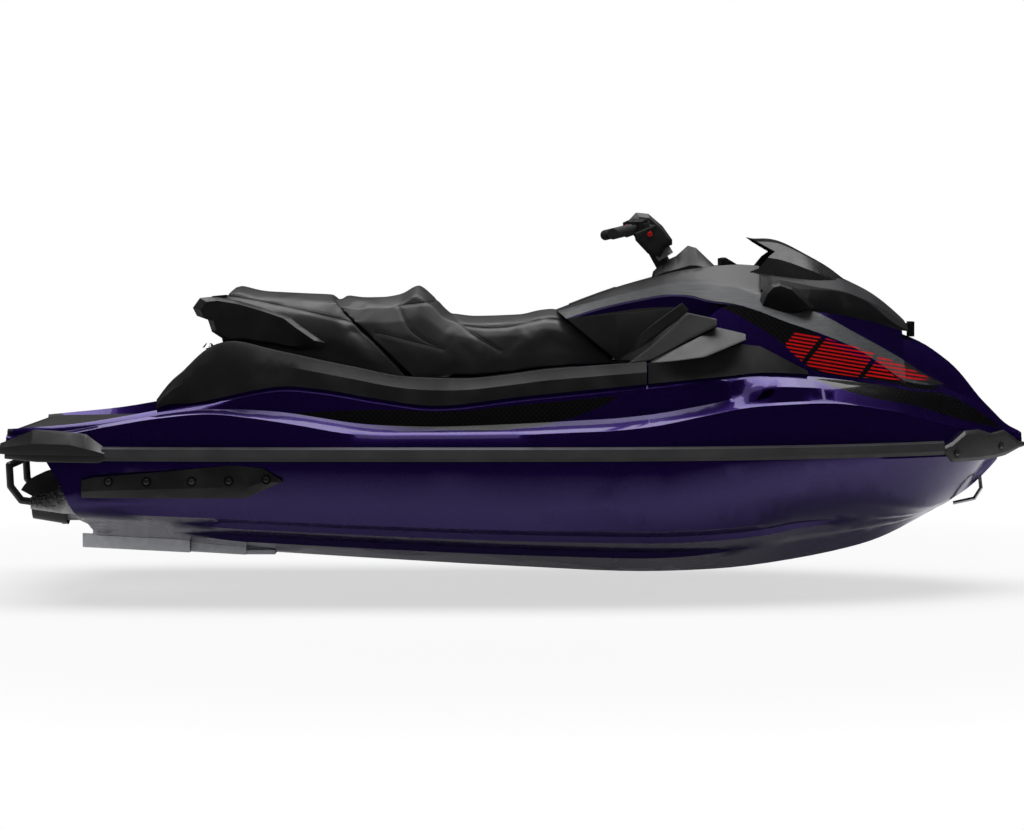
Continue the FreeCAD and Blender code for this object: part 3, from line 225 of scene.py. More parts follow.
band_foot = [(1.24, 0.415), (1.3, 0.384), (1.36, 0.374), (1.425, 0.371)]
brushed_dark = (0.04, 0.041, 0.043, 1.0)
brushed_pale = (0.078, 0.08, 0.084, 1.0)
brush_stretch = (0.25, 1.0, 6.0)
stripe_top = [(0.87, 0.557), (0.906, 0.555), (1.049, 0.522), (1.192, 0.475), (1.395, 0.387)]
stripe_foot = [
    (0.87, 0.52), (0.9, 0.484), (0.975, 0.434), (1.039, 0.418), (1.192, 0.398), (1.395, 0.387),
]
stripe_pitch = 0.0118
stripe_edge = (stripe_pitch * 0.24, stripe_pitch * 0.3)
stripe_fall = 0.17
stripe_lean = 0.87
stripe_start = 0.43
stripe_breaks = (0.54, 0.775)
break_edge = (0.01, 0.012)
footwell_half = 0.44
footwell_end = 0.25
toe_end, toe_top = 0.5, 0.42
rub_size = 0.12
rub_fade = (0.45, 0.75)


def sums(tree, operation, first, second):
    """One step of arithmetic on a value, with another value or a plain number."""
    node = tree.nodes.new("ShaderNodeMath")
    node.operation = operation
    tree.links.new(first, node.inputs[0])
    if isinstance(second, (int, float)):
        node.inputs[1].default_value = second
    else:
        tree.links.new(second, node.inputs[1])
    return node.outputs["Value"]


def side_view(tree, place):
    """Where a point is along the craft and up it, in metres."""
    node = tree.nodes.new("ShaderNodeSeparateXYZ")
    tree.links.new(place, node.inputs["Vector"])
    return node.outputs["X"], node.outputs["Z"]


def line_height(tree, along, points):
    """The height of a line across the side, at a point's place along the craft."""
    node = tree.nodes.new("ShaderNodeFloatCurve")
    bends = node.mapping.curves[0].points
    shares = [((x - line_left) / line_span, (z - line_floor) / line_rise) for x, z in points]
    bends[0].location, bends[1].location = shares[0], shares[-1]
    for share in shares[1:-1]:
        bends.new(*share)
    node.mapping.update()
    share = ramp(tree, along, 0.0, 1.0, line_left, line_left + line_span)
    tree.links.new(share, node.inputs["Value"])
    return ramp(tree, node.outputs["Value"], line_floor, line_floor + line_rise, 0.0, 1.0)


def above(tree, along, height, points):
    """One above a line across the side, and nought below it."""
    over = sums(tree, "SUBTRACT", height, line_height(tree, along, points))
    return ramp(tree, over, 0.0, 1.0, 0.0, film_edge)


def between(tree, along, height, top, foot):
    """One inside the area between two lines that meet at both ends, and nought outside it."""
    under = sums(tree, "SUBTRACT", line_height(tree, along, top), height)
    below = ramp(tree, under, 0.0, 1.0, 0.0, film_edge)
    return sums(tree, "MULTIPLY", below, above(tree, along, height, foot))


def stripes(tree, along, height):
    """The block of slanted stripes: one on a stripe and nought beside it."""
    area = between(tree, along, height, stripe_top, stripe_foot)
    across = sums(tree, "ADD", sums(tree, "MULTIPLY", along, stripe_fall), height)
    wave = sums(tree, "PINGPONG", across, stripe_pitch / 2)
    mask = sums(tree, "MULTIPLY", area, ramp(tree, wave, 0.0, 1.0, *stripe_edge))
    lean = sums(tree, "SUBTRACT", along, sums(tree, "MULTIPLY", height, stripe_lean))
    started = ramp(tree, lean, 0.0, 1.0, stripe_start - film_edge, stripe_start)
    mask = sums(tree, "MULTIPLY", mask, started)
    for middle in stripe_breaks:
        aside = sums(tree, "ABSOLUTE", sums(tree, "SUBTRACT", lean, middle), 0.0)
        mask = sums(tree, "MULTIPLY", mask, ramp(tree, aside, 0.0, 1.0, *break_edge))
    return mask


def blended(tree, factor, first, second):
    """A colour between two, by the factor."""
    node = tree.nodes.new("ShaderNodeMix")
    node.data_type = "RGBA"
    tree.links.new(factor, node.inputs["Factor"])
    for socket, colour in (("A", first), ("B", second)):
        if isinstance(colour, tuple):
            node.inputs[socket].default_value = colour
        else:
            tree.links.new(colour, node.inputs[socket])
    return node.outputs["Result"]


def woven(tree, place):
    """The black film: a twill of strands that pass over and under each other."""
    waves = []
    for turn in (45.0, -45.0):
        mapping = tree.nodes.new("ShaderNodeMapping")
        mapping.inputs["Rotation"].default_value = (0.0, math.radians(turn), 0.0)
        tree.links.new(place, mapping.inputs["Vector"])
        wave = tree.nodes.new("ShaderNodeTexWave")
        wave.inputs["Scale"].default_value = wave_period / twill_size
        tree.links.new(mapping.outputs["Vector"], wave.inputs["Vector"])
        waves.append(wave.outputs["Fac"])
    return two_tone(tree, sums(tree, "MULTIPLY", *waves), film_black, film_weave, 0.35, 0.6)


def brushed(tree, place):
    """The brushed grey film, streaked along the craft."""
    mapping = tree.nodes.new("ShaderNodeMapping")
    mapping.inputs["Scale"].default_value = brush_stretch
    tree.links.new(place, mapping.inputs["Vector"])
    streaks = noise(tree, mapping.outputs["Vector"], 0.02, 6.0)
    return two_tone(tree, streaks, brushed_dark, brushed_pale)


def rubbed(tree, place, dark, worn):
    """Plastic's colour, a little lighter where boots and ropes have rubbed it."""
    return two_tone(tree, noise(tree, place, rub_size, 6.0), dark, worn, *rub_fade)


deck_paint, deck_shader, tree, place, paint_colour = metallic_paint("violet deck paint with films")
along, height = side_view(tree, place)
film = between(tree, along, height, bow_wedge_top, bow_wedge_foot)
for top, foot in ((bow_film_top, bow_film_foot), (side_film_top, side_film_foot)):
    film = sums(tree, "MAXIMUM", film, between(tree, along, height, top, foot))
cloth = woven(tree, place)
flash = stripes(tree, along, height)
band = between(tree, along, height, band_top, band_foot)
colour = blended(tree, band, blended(tree, film, paint_colour, cloth), brushed(tree, place))
colour = blended(tree, flash, colour, stripe_red)
tree.links.new(colour, deck_shader.inputs["Base Color"])
covered = sums(tree, "MAXIMUM", film, flash)
tree.links.new(ramp(tree, covered, paint_metal, 0.0, 0.0, 1.0), deck_shader.inputs["Metallic"])


def moulded_plastic(name, dark, worn, rough, depth=0.00012, grain=0.0009, shine=0.5):
    """Grained plastic in a colour that boots and ropes have rubbed."""
    material, shader, tree, place = new_material(name)
    tree.links.new(rubbed(tree, place, dark, worn), shader.inputs["Base Color"])
    dulled = ramp(tree, noise(tree, place, 0.05), rough - 0.05, rough + 0.07)
    tree.links.new(dulled, shader.inputs["Roughness"])
    shader.inputs["Specular IOR Level"].default_value = shine
    bump(tree, shader, noise(tree, place, grain), depth)
    return material


grip_coat = moulded_plastic(
    "black grip coat", (0.006, 0.006, 0.006, 1.0), (0.016, 0.016, 0.016, 1.0), 0.6,
    depth=0.0006, grain=0.003, shine=0.35,
)
deck = dressed("deck", "deck_paint", deck_paint, grip_coat, angle=32.0)
for face in deck.data.polygons:
    inside = abs(face.center.y) < footwell_half
    in_toe = face.center.x < toe_end and face.center.z < toe_top
    if inside and (face.center.x < footwell_end or in_toe):
        face.material_index = 1

# ---------------------------------------------------------------- cowl
# One moulding carries the bars and closes the deck ahead of the seat. Its top is grained grey,
# the band under its shoulder is a brushed film, and below the crest it is painted, with a painted
# highlight as a pale violet line along the crest, black film and stripes, and plain grey beside
# the knees.

cowl_shoulder = [
    (0.12, 0.606), (0.287, 0.652), (0.421, 0.685), (0.508, 0.706), (0.585, 0.712), (0.685, 0.706),
    (0.808, 0.677), (0.989, 0.614), (1.126, 0.543), (1.296, 0.45), (1.426, 0.367),
]
cowl_crest = [
    (0.12, 0.575), (0.17, 0.59), (0.287, 0.627), (0.418, 0.657), (0.501, 0.671), (0.568, 0.67),
    (0.631, 0.655), (0.721, 0.641), (0.782, 0.623), (0.885, 0.584), (0.999, 0.545), (1.116, 0.496),
    (1.263, 0.401), (1.3, 0.378),
]
top_grey = (0.022, 0.022, 0.023, 1.0)
top_worn = (0.034, 0.034, 0.036, 1.0)
top_end = 0.96
knee_line = [
    (0.1, 0.57), (0.174, 0.587), (0.246, 0.6), (0.329, 0.613), (0.442, 0.628), (0.561, 0.631),
    (0.6, 0.631),
]
knee_end = 0.561
cowl_wedge_top = [(0.6, 0.7), (1.3, 0.7), (1.422, 0.7)]
knee_grey = (0.028, 0.028, 0.029, 1.0)
# The pale violet line under the cowl's crest is a painted highlight.
crest_highlight_width = 0.006
crest_highlight_violet = (0.2, 0.17, 0.4, 1.0)

cowl_finish, cowl_shader, tree, place, paint_colour = metallic_paint(
    "cowl in plastic, film and paint",
)
along, height = side_view(tree, place)
over_shoulder = above(tree, along, height, cowl_shoulder)
over_crest = above(tree, along, height, cowl_crest)
beside_knee = sums(
    tree, "MULTIPLY", ramp(tree, above(tree, along, height, knee_line), 1.0, 0.0, 0.0, 1.0),
    ramp(tree, along, 1.0, 0.0, knee_end - film_edge, knee_end),
)
plastic = rubbed(tree, place, top_grey, top_worn)
wedge = between(tree, along, height, cowl_wedge_top, bow_wedge_foot)
past_top = ramp(tree, along, 0.0, 1.0, top_end, top_end + film_edge)
nose = sums(tree, "MULTIPLY", over_shoulder, past_top)
flank = blended(tree, wedge, paint_colour, woven(tree, place))
colour = blended(tree, over_crest, flank, brushed(tree, place))
colour = blended(tree, over_shoulder, colour, plastic)
colour = blended(tree, nose, colour, paint_colour)
colour = blended(tree, beside_knee, colour, knee_grey)
under_crest = sums(tree, "SUBTRACT", line_height(tree, along, cowl_crest), height)
# Painted highlight: a pale violet line just under the crest, where a rounded edge would catch the
# overhead light.
painted_crest_highlight = sums(
    tree, "MULTIPLY", ramp(tree, under_crest, 0.0, 1.0, 0.0, film_edge),
    ramp(tree, under_crest, 1.0, 0.0, crest_highlight_width, crest_highlight_width + film_edge),
)
colour = blended(tree, painted_crest_highlight, colour, crest_highlight_violet)
colour = blended(tree, stripes(tree, along, height), colour, stripe_red)
tree.links.new(colour, cowl_shader.inputs["Base Color"])
dull = sums(tree, "MAXIMUM", sums(tree, "SUBTRACT", over_crest, nose), beside_knee)
for socket, bright_value, dull_value in (
    ("Metallic", paint_metal, 0.0), ("Roughness", 0.28, 0.45), ("Coat Weight", 1.0, 0.08),
):
    value = ramp(tree, dull, bright_value, dull_value, 0.0, 1.0)
    tree.links.new(value, cowl_shader.inputs[socket])
cowl_shader.inputs["Specular IOR Level"].default_value = 0.4
bump(tree, cowl_shader, noise(tree, place, 0.0009), 0.00006)
cowl = dressed("upper_cowl", "grey_band", cowl_finish, angle=30.0)

# ---------------------------------------------------------------- hood and visor
# The hood lifts on a hinge at its nose. Its upper skin is grained grey, the part that dips
# under the beak is black, and a tall visor of tinted plastic stands on its back edge. The visor's
# faces that turn back or down are painted near black, as painted shade.

sides = {"_left": 1.0, "_right": -1.0}
hood_crease = [
    (0.8, 0.78), (0.838, 0.763), (0.846, 0.708), (1.107, 0.67), (1.301, 0.553), (1.35, 0.54),
]
crease_fade = 0.003
hood_black = (0.006, 0.006, 0.007, 1.0)
hood_grey = (0.034, 0.034, 0.036, 1.0)
visor_shade_back, visor_shade_under = -0.5, -0.2

hood_skin, hood_shader, tree, place = new_material("hood in two tones")
along, height = side_view(tree, place)
over = sums(tree, "SUBTRACT", height, line_height(tree, along, hood_crease))
upper = ramp(tree, over, 0.0, 1.0, 0.0, crease_fade)
colour = two_tone(tree, upper, hood_black, hood_grey, 0.0, 1.0)
tree.links.new(colour, hood_shader.inputs["Base Color"])
tree.links.new(ramp(tree, noise(tree, place, 0.05), 0.3, 0.42), hood_shader.inputs["Roughness"])
bump(tree, hood_shader, noise(tree, place, 0.0009), 0.0001)
dressed("hood", "hood_paint", hood_skin, angle=28.0)

black_trim = moulded_plastic(
    "grained black plastic", (0.012, 0.012, 0.0125, 1.0), (0.024, 0.024, 0.025, 1.0), 0.44,
)
deep_black_and_painted_shade = moulded_plastic(
    "black plastic and painted shade", (0.004, 0.004, 0.004, 1.0), (0.008, 0.008, 0.008, 1.0), 0.4,
)
visor_grey = moulded_plastic(
    "tinted visor", (0.02, 0.02, 0.021, 1.0), (0.028, 0.028, 0.029, 1.0), 0.26, depth=0.00002,
)
visor = dressed("visor", "black_gloss", visor_grey, deep_black_and_painted_shade, angle=30.0)
# Painted shade: the visor's faces that turn back or down take the near-black plastic.
for face in visor.data.polygons:
    if face.normal.x < visor_shade_back or face.normal.z < visor_shade_under:
        face.material_index = 1
dressed("steering_fin", "black_plastic", black_trim, angle=30.0)
dressed("hood_hinge", "black_metal", deep_black_and_painted_shade, edge=0.001)
for side in sides:
    dressed("mirror" + side, "black_plastic", deep_black_and_painted_shade, angle=30.0, edge=0.003)
dressed("glovebox_lid", "black_plastic", black_trim, edge=0.0015)

# ---------------------------------------------------------------- covers, rail, bumpers
# Screwed-on mouldings protect the sides: the gunwale covers and side covers along the
# footwells, three lapped blades at each knee, the rub rail, the bumpers and the sponsons.

blade_grey = moulded_plastic(
    "grained blades", (0.014, 0.014, 0.015, 1.0), (0.022, 0.022, 0.023, 1.0), 0.45,
)
bumper_grey = moulded_plastic(
    "grained bumper plastic", (0.022, 0.022, 0.023, 1.0), (0.034, 0.034, 0.035, 1.0), 0.4,
)
rail_top = moulded_plastic(
    "pale top of the rub rail", (0.034, 0.034, 0.036, 1.0), (0.045, 0.045, 0.047, 1.0), 0.4,
)
rail_split = 0.172
for side in sides:
    dressed("gunwale_cover" + side, "black_plastic", black_trim, angle=24.0)
    dressed("side_cover" + side, "black_plastic", black_trim, angle=30.0)
    dressed("knee_panel" + side, "grey_panel", blade_grey, angle=25.0, edge=0.0025)
    dressed("stern_cap" + side, "black_plastic", bumper_grey, angle=25.0, edge=0.004)
    rail = dressed("rub_rail" + side, "rail_plastic", black_trim, rail_top, angle=30.0)
    for face in rail.data.polygons:
        face.material_index = 1 if face.center.z > rail_split else 0

# A strip and two lower blades lap over the flare: thin mouldings that follow the deck's skin.
blade_outlines = {
    "knee_strip": [
        (0.333, 0.47), (0.355, 0.49), (0.456, 0.576), (0.55, 0.646), (0.572, 0.62), (0.48, 0.55),
        (0.372, 0.468),
    ],
    "knee_blade": [
        (0.376, 0.449), (0.445, 0.503), (0.562, 0.615), (0.653, 0.596), (0.651, 0.573),
        (0.553, 0.521), (0.45, 0.462),
    ],
    "toe_blade": [
        (0.443, 0.456), (0.541, 0.51), (0.656, 0.569), (0.744, 0.549), (0.743, 0.53),
        (0.612, 0.476), (0.525, 0.464),
    ],
}
blade_stand = {"knee_strip": 0.012, "knee_blade": 0.006, "toe_blade": 0.003}
blade_wall = 0.006
blade_cuts = 7
blade_edge = 0.0025
blade_bend = 50.0
beside_craft = 2.0


def added(name, add, *materials, **options):
    """A new piece from one of the mesh primitives, with its name and materials."""
    bpy.ops.object.select_all(action="DESELECT")
    add(**options)
    piece = bpy.context.object
    piece.name = name
    for material in materials:
        piece.data.materials.append(material)
    return piece


def surface_at(pieces, x, z, side):
    """Where a line across the craft first meets one of the pieces, and which way it faces."""
    start = Vector((x, side * beside_craft, z))
    hits = [piece.ray_cast(start, Vector((0.0, -side, 0.0))) for piece in pieces]
    hits = [hit for hit in hits if hit[0]]
    if not hits:
        raise ValueError("no surface at %.3f, %.3f" % (x, z))
    nearest = max(hits, key=lambda hit: abs(hit[1].y))
    return nearest[1], nearest[2]


for side, way in sides.items():
    for name, outline in blade_outlines.items():
        blade = added(
            name + side, bpy.ops.mesh.primitive_circle_add, blade_grey,
            vertices=len(outline), fill_type="NGON",
        )
        for vertex, (x, z) in zip(blade.data.vertices, outline):
            vertex.co = (x, 0.0, z)
        bpy.ops.object.mode_set(mode="EDIT")
        bpy.ops.mesh.select_all(action="SELECT")
        bpy.ops.mesh.quads_convert_to_tris(ngon_method="BEAUTY")
        bpy.ops.mesh.subdivide(number_cuts=blade_cuts)
        bpy.ops.object.mode_set(mode="OBJECT")
        # The sheet is the plane that lies nearest to the skin, moved out until it clears it.
        points = np.array([vertex.co[:] for vertex in blade.data.vertices])
        skin = np.array([abs(surface_at([cowl, deck], x, z, way)[0].y) for x, y, z in points])
        x, z = points[:, 0] - points[:, 0].mean(), points[:, 2] - points[:, 2].mean()
        terms = np.stack([np.ones_like(x), x, z], axis=1)
        sheet = terms @ np.linalg.lstsq(terms, skin, rcond=None)[0]
        sheet += (skin - sheet).max() + blade_stand[name]
        for vertex, reach in zip(blade.data.vertices, sheet):
            vertex.co.y = way * reach
        inward = (0.0, -way * ((sheet - skin).max() + blade_wall), 0.0)
        bpy.ops.object.mode_set(mode="EDIT")
        bpy.ops.mesh.select_all(action="SELECT")
        bpy.ops.mesh.extrude_region_move(TRANSFORM_OT_translate={"value": inward})
        bpy.ops.mesh.select_all(action="SELECT")
        bpy.ops.mesh.normals_make_consistent(inside=False)
        bpy.ops.object.mode_set(mode="OBJECT")
        rounded(blade, blade_edge, segments=2, bend=blade_bend)
        bpy.ops.object.shade_smooth_by_angle(angle=math.radians(35.0))
        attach(blade, "craft")

# Each stern bumper carries on down over the rub rail's end as a straight skirt.
skirt_line = [(-1.612, 0.486), (-1.5, 0.55), (-1.3, 0.583), (-1.272, 0.586)]
skirt_low = (0.154, 0.148, 0.147, 0.16)
skirt_top = 0.171
skirt_depth = 0.022
skirt_edge = 0.003


def walled(piece, thickness, offset):
    """Gives a sheet its thickness: behind its face at -1, and half on each side at 0."""
    wall = piece.modifiers.new("wall", "SOLIDIFY")
    wall.thickness = thickness
    wall.offset = offset
    bpy.ops.object.modifier_apply(modifier=wall.name)


for side, way in sides.items():
    skirt = added(
        "stern_skirt" + side, bpy.ops.mesh.primitive_grid_add, bumper_grey,
        x_subdivisions=len(skirt_line) - 1, y_subdivisions=1,
    )
    columns = sorted({round(vertex.co.x, 4) for vertex in skirt.data.vertices})
    for vertex in skirt.data.vertices:
        number = columns.index(round(vertex.co.x, 4))
        x, y = skirt_line[number]
        vertex.co = (x, way * y, skirt_top if vertex.co.y > 0 else skirt_low[number])
    bpy.ops.object.mode_set(mode="EDIT")
    bpy.ops.mesh.select_all(action="SELECT")
    bpy.ops.mesh.normals_make_consistent(inside=False)
    shape = bmesh.from_edit_mesh(skirt.data)
    if sum(face.normal.y for face in shape.faces) * way < 0:
        bpy.ops.mesh.flip_normals()
    bpy.ops.object.mode_set(mode="OBJECT")
    walled(skirt, skirt_depth, -1.0)
    rounded(skirt, skirt_edge)
    bpy.ops.object.shade_smooth_by_angle(angle=math.radians(35.0))
    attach(skirt, "craft")

bow_cap = dressed("bow_cap", "black_plastic", bumper_grey, angle=25.0, edge=0.004)
sponsons = {
    side: dressed("sponson" + side, "black_plastic", black_trim, angle=25.0, edge=0.004)
    for side in sides
}

# ---------------------------------------------------------------- bolts
# Stainless bolts with a domed head, blackened, each in a shallow round well. They hold the
# sponsons and the bow bumper.

bolt_radius = 0.009
rim_height = 0.003
dome_inset = 0.00225
dome_rises = (0.0015, 0.0005)
socket_inset = 0.00036
socket_depth = 0.0025
well_radius = 0.016
well_depth = 0.0006
bolt_sides = 20
sponson_bolts = [(-1.27, 0.088), (-1.15, 0.088), (-1.007, 0.089), (-0.89, 0.091), (-0.772, 0.096)]
bow_bolts = [(1.446, 0.157), (1.61, 0.172)]


def bolt(name, point, normal, *materials):
    """A domed head with a round socket in a shallow well, turned to stand on the surface."""
    head = added(
        name, bpy.ops.mesh.primitive_cylinder_add, *materials,
        vertices=bolt_sides, radius=well_radius, depth=well_depth,
    )
    bpy.ops.object.mode_set(mode="EDIT")
    shape = bmesh.from_edit_mesh(head.data)
    top = max(shape.faces, key=lambda face: face.calc_center_median().z)
    bpy.ops.mesh.select_all(action="DESELECT")
    top.select = True
    bmesh.update_edit_mesh(head.data)
    bpy.ops.mesh.inset(thickness=well_radius - bolt_radius)
    bpy.ops.mesh.extrude_region_move(TRANSFORM_OT_translate={"value": (0.0, 0.0, rim_height)})
    for rise in dome_rises:
        bpy.ops.mesh.inset(thickness=dome_inset, depth=rise)
    bpy.ops.mesh.inset(thickness=socket_inset)
    bpy.ops.mesh.extrude_region_move(TRANSFORM_OT_translate={"value": (0.0, 0.0, -socket_depth)})
    bpy.ops.object.mode_set(mode="OBJECT")
    for face in head.data.polygons:
        on_head = face.center.xy.length < bolt_radius * 1.02 and face.center.z > well_depth
        face.material_index = 1 if on_head else 0
    bpy.ops.object.shade_smooth_by_angle(angle=math.radians(40.0))
    head.rotation_euler = normal.to_track_quat("Z", "Y").to_euler()
    head.location = point
    bpy.ops.object.transform_apply(location=True, rotation=True, scale=True)
    return head


dark_steel = moulded_plastic(
    "blackened steel", (0.02, 0.02, 0.021, 1.0), (0.05, 0.05, 0.052, 1.0), 0.3,
    depth=0.00001, shine=0.8,
)
for side, way in sides.items():
    for name, places, piece in (
        ("sponson_bolt", sponson_bolts, sponsons[side]), ("bow_bolt", bow_bolts, bow_cap),
    ):
        for number, (x, z) in enumerate(places):
            spot = surface_at([piece], x, z, way)
            head = bolt("%s%s_%d" % (name, side, number), *spot, deep_black_and_painted_shade, dark_steel)
            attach(head, "craft")

# ---------------------------------------------------------------- seat
# Two foam pads in black vinyl with a fine leather grain. The panels are sewn together, with
# the seams pulled in, a line of stitches along each, and the foam swelling between them.

seat_voxel = 0.009
seat_start = 0.003
seat_swell = 0.009
seat_pressure = 3.0
seat_stiffness = 40.0
seat_frames = 20
foam_smoothing = 4
seam_reach = 0.0065
seam_depth = 0.0028
seam_line = 0.0011
seam_end = 0.001
seam_black = (0.004, 0.004, 0.004, 1.0)
thread_grey = (0.05, 0.05, 0.053, 1.0)
stitch_offset = 0.006
stitch_length = 0.0065
stitch_edge = (0.0004, 0.0012)
stitch_gap = (stitch_length * 0.1, stitch_length * 0.14)
leather_size = 0.0022
vinyl_relief = 0.0006
rear_seams = [[(-0.95, 0.668), (-0.893, 0.66), (-0.691, 0.62), (-0.47, 0.568)]]
front_seams = [
    [(-0.44, 0.546), (-0.333, 0.52), (-0.225, 0.492)],
    [(-0.375, 0.632), (-0.334, 0.639), (-0.255, 0.647)],
    [(-0.368, 0.629), (-0.355, 0.594), (-0.333, 0.556), (-0.294, 0.526), (-0.25, 0.503)],
    [(-0.222, 0.634), (-0.197, 0.601), (-0.137, 0.545), (-0.04, 0.487)],
    [(-0.158, 0.568), (-0.088, 0.56), (-0.016, 0.563), (0.11, 0.589), (0.17, 0.585)],
]


def from_seam(points, seams):
    """How far each point is from the nearest seam, seen from the side."""
    nearest = np.full(len(points), 1.0)
    for seam in seams:
        for (ax, az), (bx, bz) in zip(seam, seam[1:]):
            run = np.array([bx - ax, bz - az])
            off = points[:, [0, 2]] - np.array([ax, az])
            share = np.clip(off @ run / (run @ run), 0.0, 1.0)
            nearest = np.minimum(nearest, np.linalg.norm(off - share[:, None] * run, axis=1))
    return nearest


def vinyl(name, seams):
    """Leather-grained vinyl, with a dark line along each seam and a row of stitches beside it."""
    material, shader, tree, place = new_material(name)
    along, height = side_view(tree, place)
    grain = tree.nodes.new("ShaderNodeTexVoronoi")
    grain.inputs["Scale"].default_value = 1.0 / leather_size
    tree.links.new(place, grain.inputs["Vector"])
    base = two_tone(
        tree, noise(tree, place, 0.2, 4.0), (0.021, 0.021, 0.022, 1.0), (0.031, 0.031, 0.032, 1.0),
        0.35, 0.7,
    )
    groove, thread = None, None
    for seam in seams:
        first, last = seam[0][0], seam[-1][0]
        inside = sums(
            tree, "MULTIPLY", ramp(tree, along, 0.0, 1.0, first, first + seam_end),
            ramp(tree, along, 1.0, 0.0, last - seam_end, last),
        )
        off = sums(tree, "SUBTRACT", height, line_height(tree, along, seam))
        steep = max(abs((b[1] - a[1]) / (b[0] - a[0])) for a, b in zip(seam, seam[1:]))
        wide = seam_line * max(1.0, steep * 0.7)
        near = sums(tree, "ABSOLUTE", off, 0.0)
        line = sums(tree, "MULTIPLY", inside, ramp(tree, near, 1.0, 0.0, wide * 0.6, wide * 1.4))
        aside = sums(tree, "ABSOLUTE", sums(tree, "SUBTRACT", off, stitch_offset), 0.0)
        row = sums(tree, "MULTIPLY", inside, ramp(tree, aside, 1.0, 0.0, *stitch_edge))
        wave = sums(tree, "PINGPONG", along, stitch_length / 2)
        stitch = sums(tree, "MULTIPLY", row, ramp(tree, wave, 0.0, 1.0, *stitch_gap))
        groove = line if groove is None else sums(tree, "MAXIMUM", groove, line)
        thread = stitch if thread is None else sums(tree, "MAXIMUM", thread, stitch)
    colour = blended(tree, groove, base, seam_black)
    colour = blended(tree, thread, colour, thread_grey)
    tree.links.new(colour, shader.inputs["Base Color"])
    tree.links.new(ramp(tree, noise(tree, place, 0.06), 0.42, 0.55), shader.inputs["Roughness"])
    leather = sums(tree, "MULTIPLY", grain.outputs["Distance"], 0.25)
    relief = sums(tree, "ADD", leather, sums(tree, "SUBTRACT", thread, groove))
    bump(tree, shader, relief, vinyl_relief)
    return material


def rows(mesh, what):
    """The positions or normals of a mesh's vertices, one row each."""
    values = np.empty(len(mesh.vertices) * 3)
    mesh.vertices.foreach_get(what, values)
    return values.reshape(-1, 3)


def upholstered(name, seams, material):
    """The pad swells under air pressure, stays near its foam, and is sewn in along its seams."""
    pad = copied(name, "_cover", material)
    pad.data.remesh_voxel_size = seat_voxel
    bpy.ops.object.voxel_remesh()
    start = rows(pad.data, "co") - seat_start * rows(pad.data, "normal")
    pad.data.vertices.foreach_set("co", start.ravel())
    pad.data.update()
    cloth = pad.modifiers.new("vinyl over foam", "CLOTH")
    cloth.settings.use_pressure = True
    cloth.settings.uniform_pressure_force = seat_pressure
    cloth.settings.effector_weights.gravity = 0.0
    cloth.settings.tension_stiffness = seat_stiffness
    cloth.settings.compression_stiffness = seat_stiffness
    for number in range(1, seat_frames + 1):
        bpy.context.scene.frame_set(number)
    swollen = pad.evaluated_get(bpy.context.evaluated_depsgraph_get())
    step = rows(swollen.data, "co") - start
    reach = np.linalg.norm(step, axis=1, keepdims=True)
    step *= np.minimum(1.0, seat_swell / np.maximum(reach, 1e-9))
    pad.modifiers.clear()
    pad.data.vertices.foreach_set("co", (start + step).ravel())
    bpy.context.scene.frame_set(1)
    smooth = pad.modifiers.new("foam", "SMOOTH")
    smooth.iterations = foam_smoothing
    bpy.ops.object.modifier_apply(modifier=smooth.name)
    finer = pad.modifiers.new("finer", "SUBSURF")
    finer.levels = finer.render_levels = 1
    bpy.ops.object.modifier_apply(modifier=finer.name)
    points = rows(pad.data, "co")
    pull = seam_depth * np.exp(-(from_seam(points, seams) / seam_reach) ** 2)
    points -= pull[:, None] * rows(pad.data, "normal")
    pad.data.vertices.foreach_set("co", points.ravel())
    pad.data.update()
    bpy.ops.object.shade_smooth()
    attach(pad, "craft")
    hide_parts(name)
    return pad


upholstered("seat_rear", rear_seams, vinyl("black vinyl of the rear pad", rear_seams))
upholstered("seat_front", front_seams, vinyl("black vinyl of the front pad", front_seams))

# A rubber seal fills the slot between the front pad and the cowl.
seal_top, seal_foot = (0.142, 0.612), (0.33, 0.458)
seal_half, seal_thick = 0.1, 0.011
seal_dip = 0.01
seal = added(
    "cowl_seal", bpy.ops.mesh.primitive_grid_add, deep_black_and_painted_shade, x_subdivisions=12, y_subdivisions=8,
)
for vertex in seal.data.vertices:
    share = vertex.co.x / 2 + 0.5
    across = vertex.co.y
    dip = seal_dip * across * across * (1.0 - share)
    vertex.co = (
        seal_top[0] + share * (seal_foot[0] - seal_top[0]),
        across * seal_half,
        seal_top[1] + share * (seal_foot[1] - seal_top[1]) - dip,
    )
walled(seal, seal_thick, 0.0)
rounded(seal, 0.003)
bpy.ops.object.shade_smooth_by_angle(angle=math.radians(35.0))
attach(seal, "craft")
dressed("grab_handle", "black_plastic", black_trim, angle=35.0)

# ---------------------------------------------------------------- steering
# A bent steel bar in black paint stands on the column, with ribbed rubber grips, a padded
# cover, a switch block beside each grip, a silver collar and a red stop button.

bar_points = [
    (0.444, 0.0, 0.8996), (0.441, 0.118, 0.906), (0.391, 0.248, 0.8836), (0.324, 0.401, 0.8675),
]
rib_pitch = 0.0065
rib_depth = 0.0016
block_share = 0.62
block_size = (0.05, 0.058, 0.044)
block_edge = 0.0035
button_inset = 0.008
button_rise = 0.004
button_sink = 0.0064
collar_foot = (0.507, 0.0, 0.79)
collar_head = (0.483, 0.0, 0.83)
collar_radius = 0.034
collar_step = 0.00408
collar_edge = 0.002
stop_place = (0.455, 0.868)

black_metal = moulded_plastic(
    "black powder coat", (0.01, 0.01, 0.0105, 1.0), (0.024, 0.024, 0.025, 1.0), 0.36,
    depth=0.00006,
)
dressed("handlebar", "black_metal", black_metal, angle=40.0)
bar_pad = dressed("bar_pad", "black_plastic", black_trim, angle=25.0, edge=0.005)
dressed("display", "black_gloss", deep_black_and_painted_shade, edge=0.002)

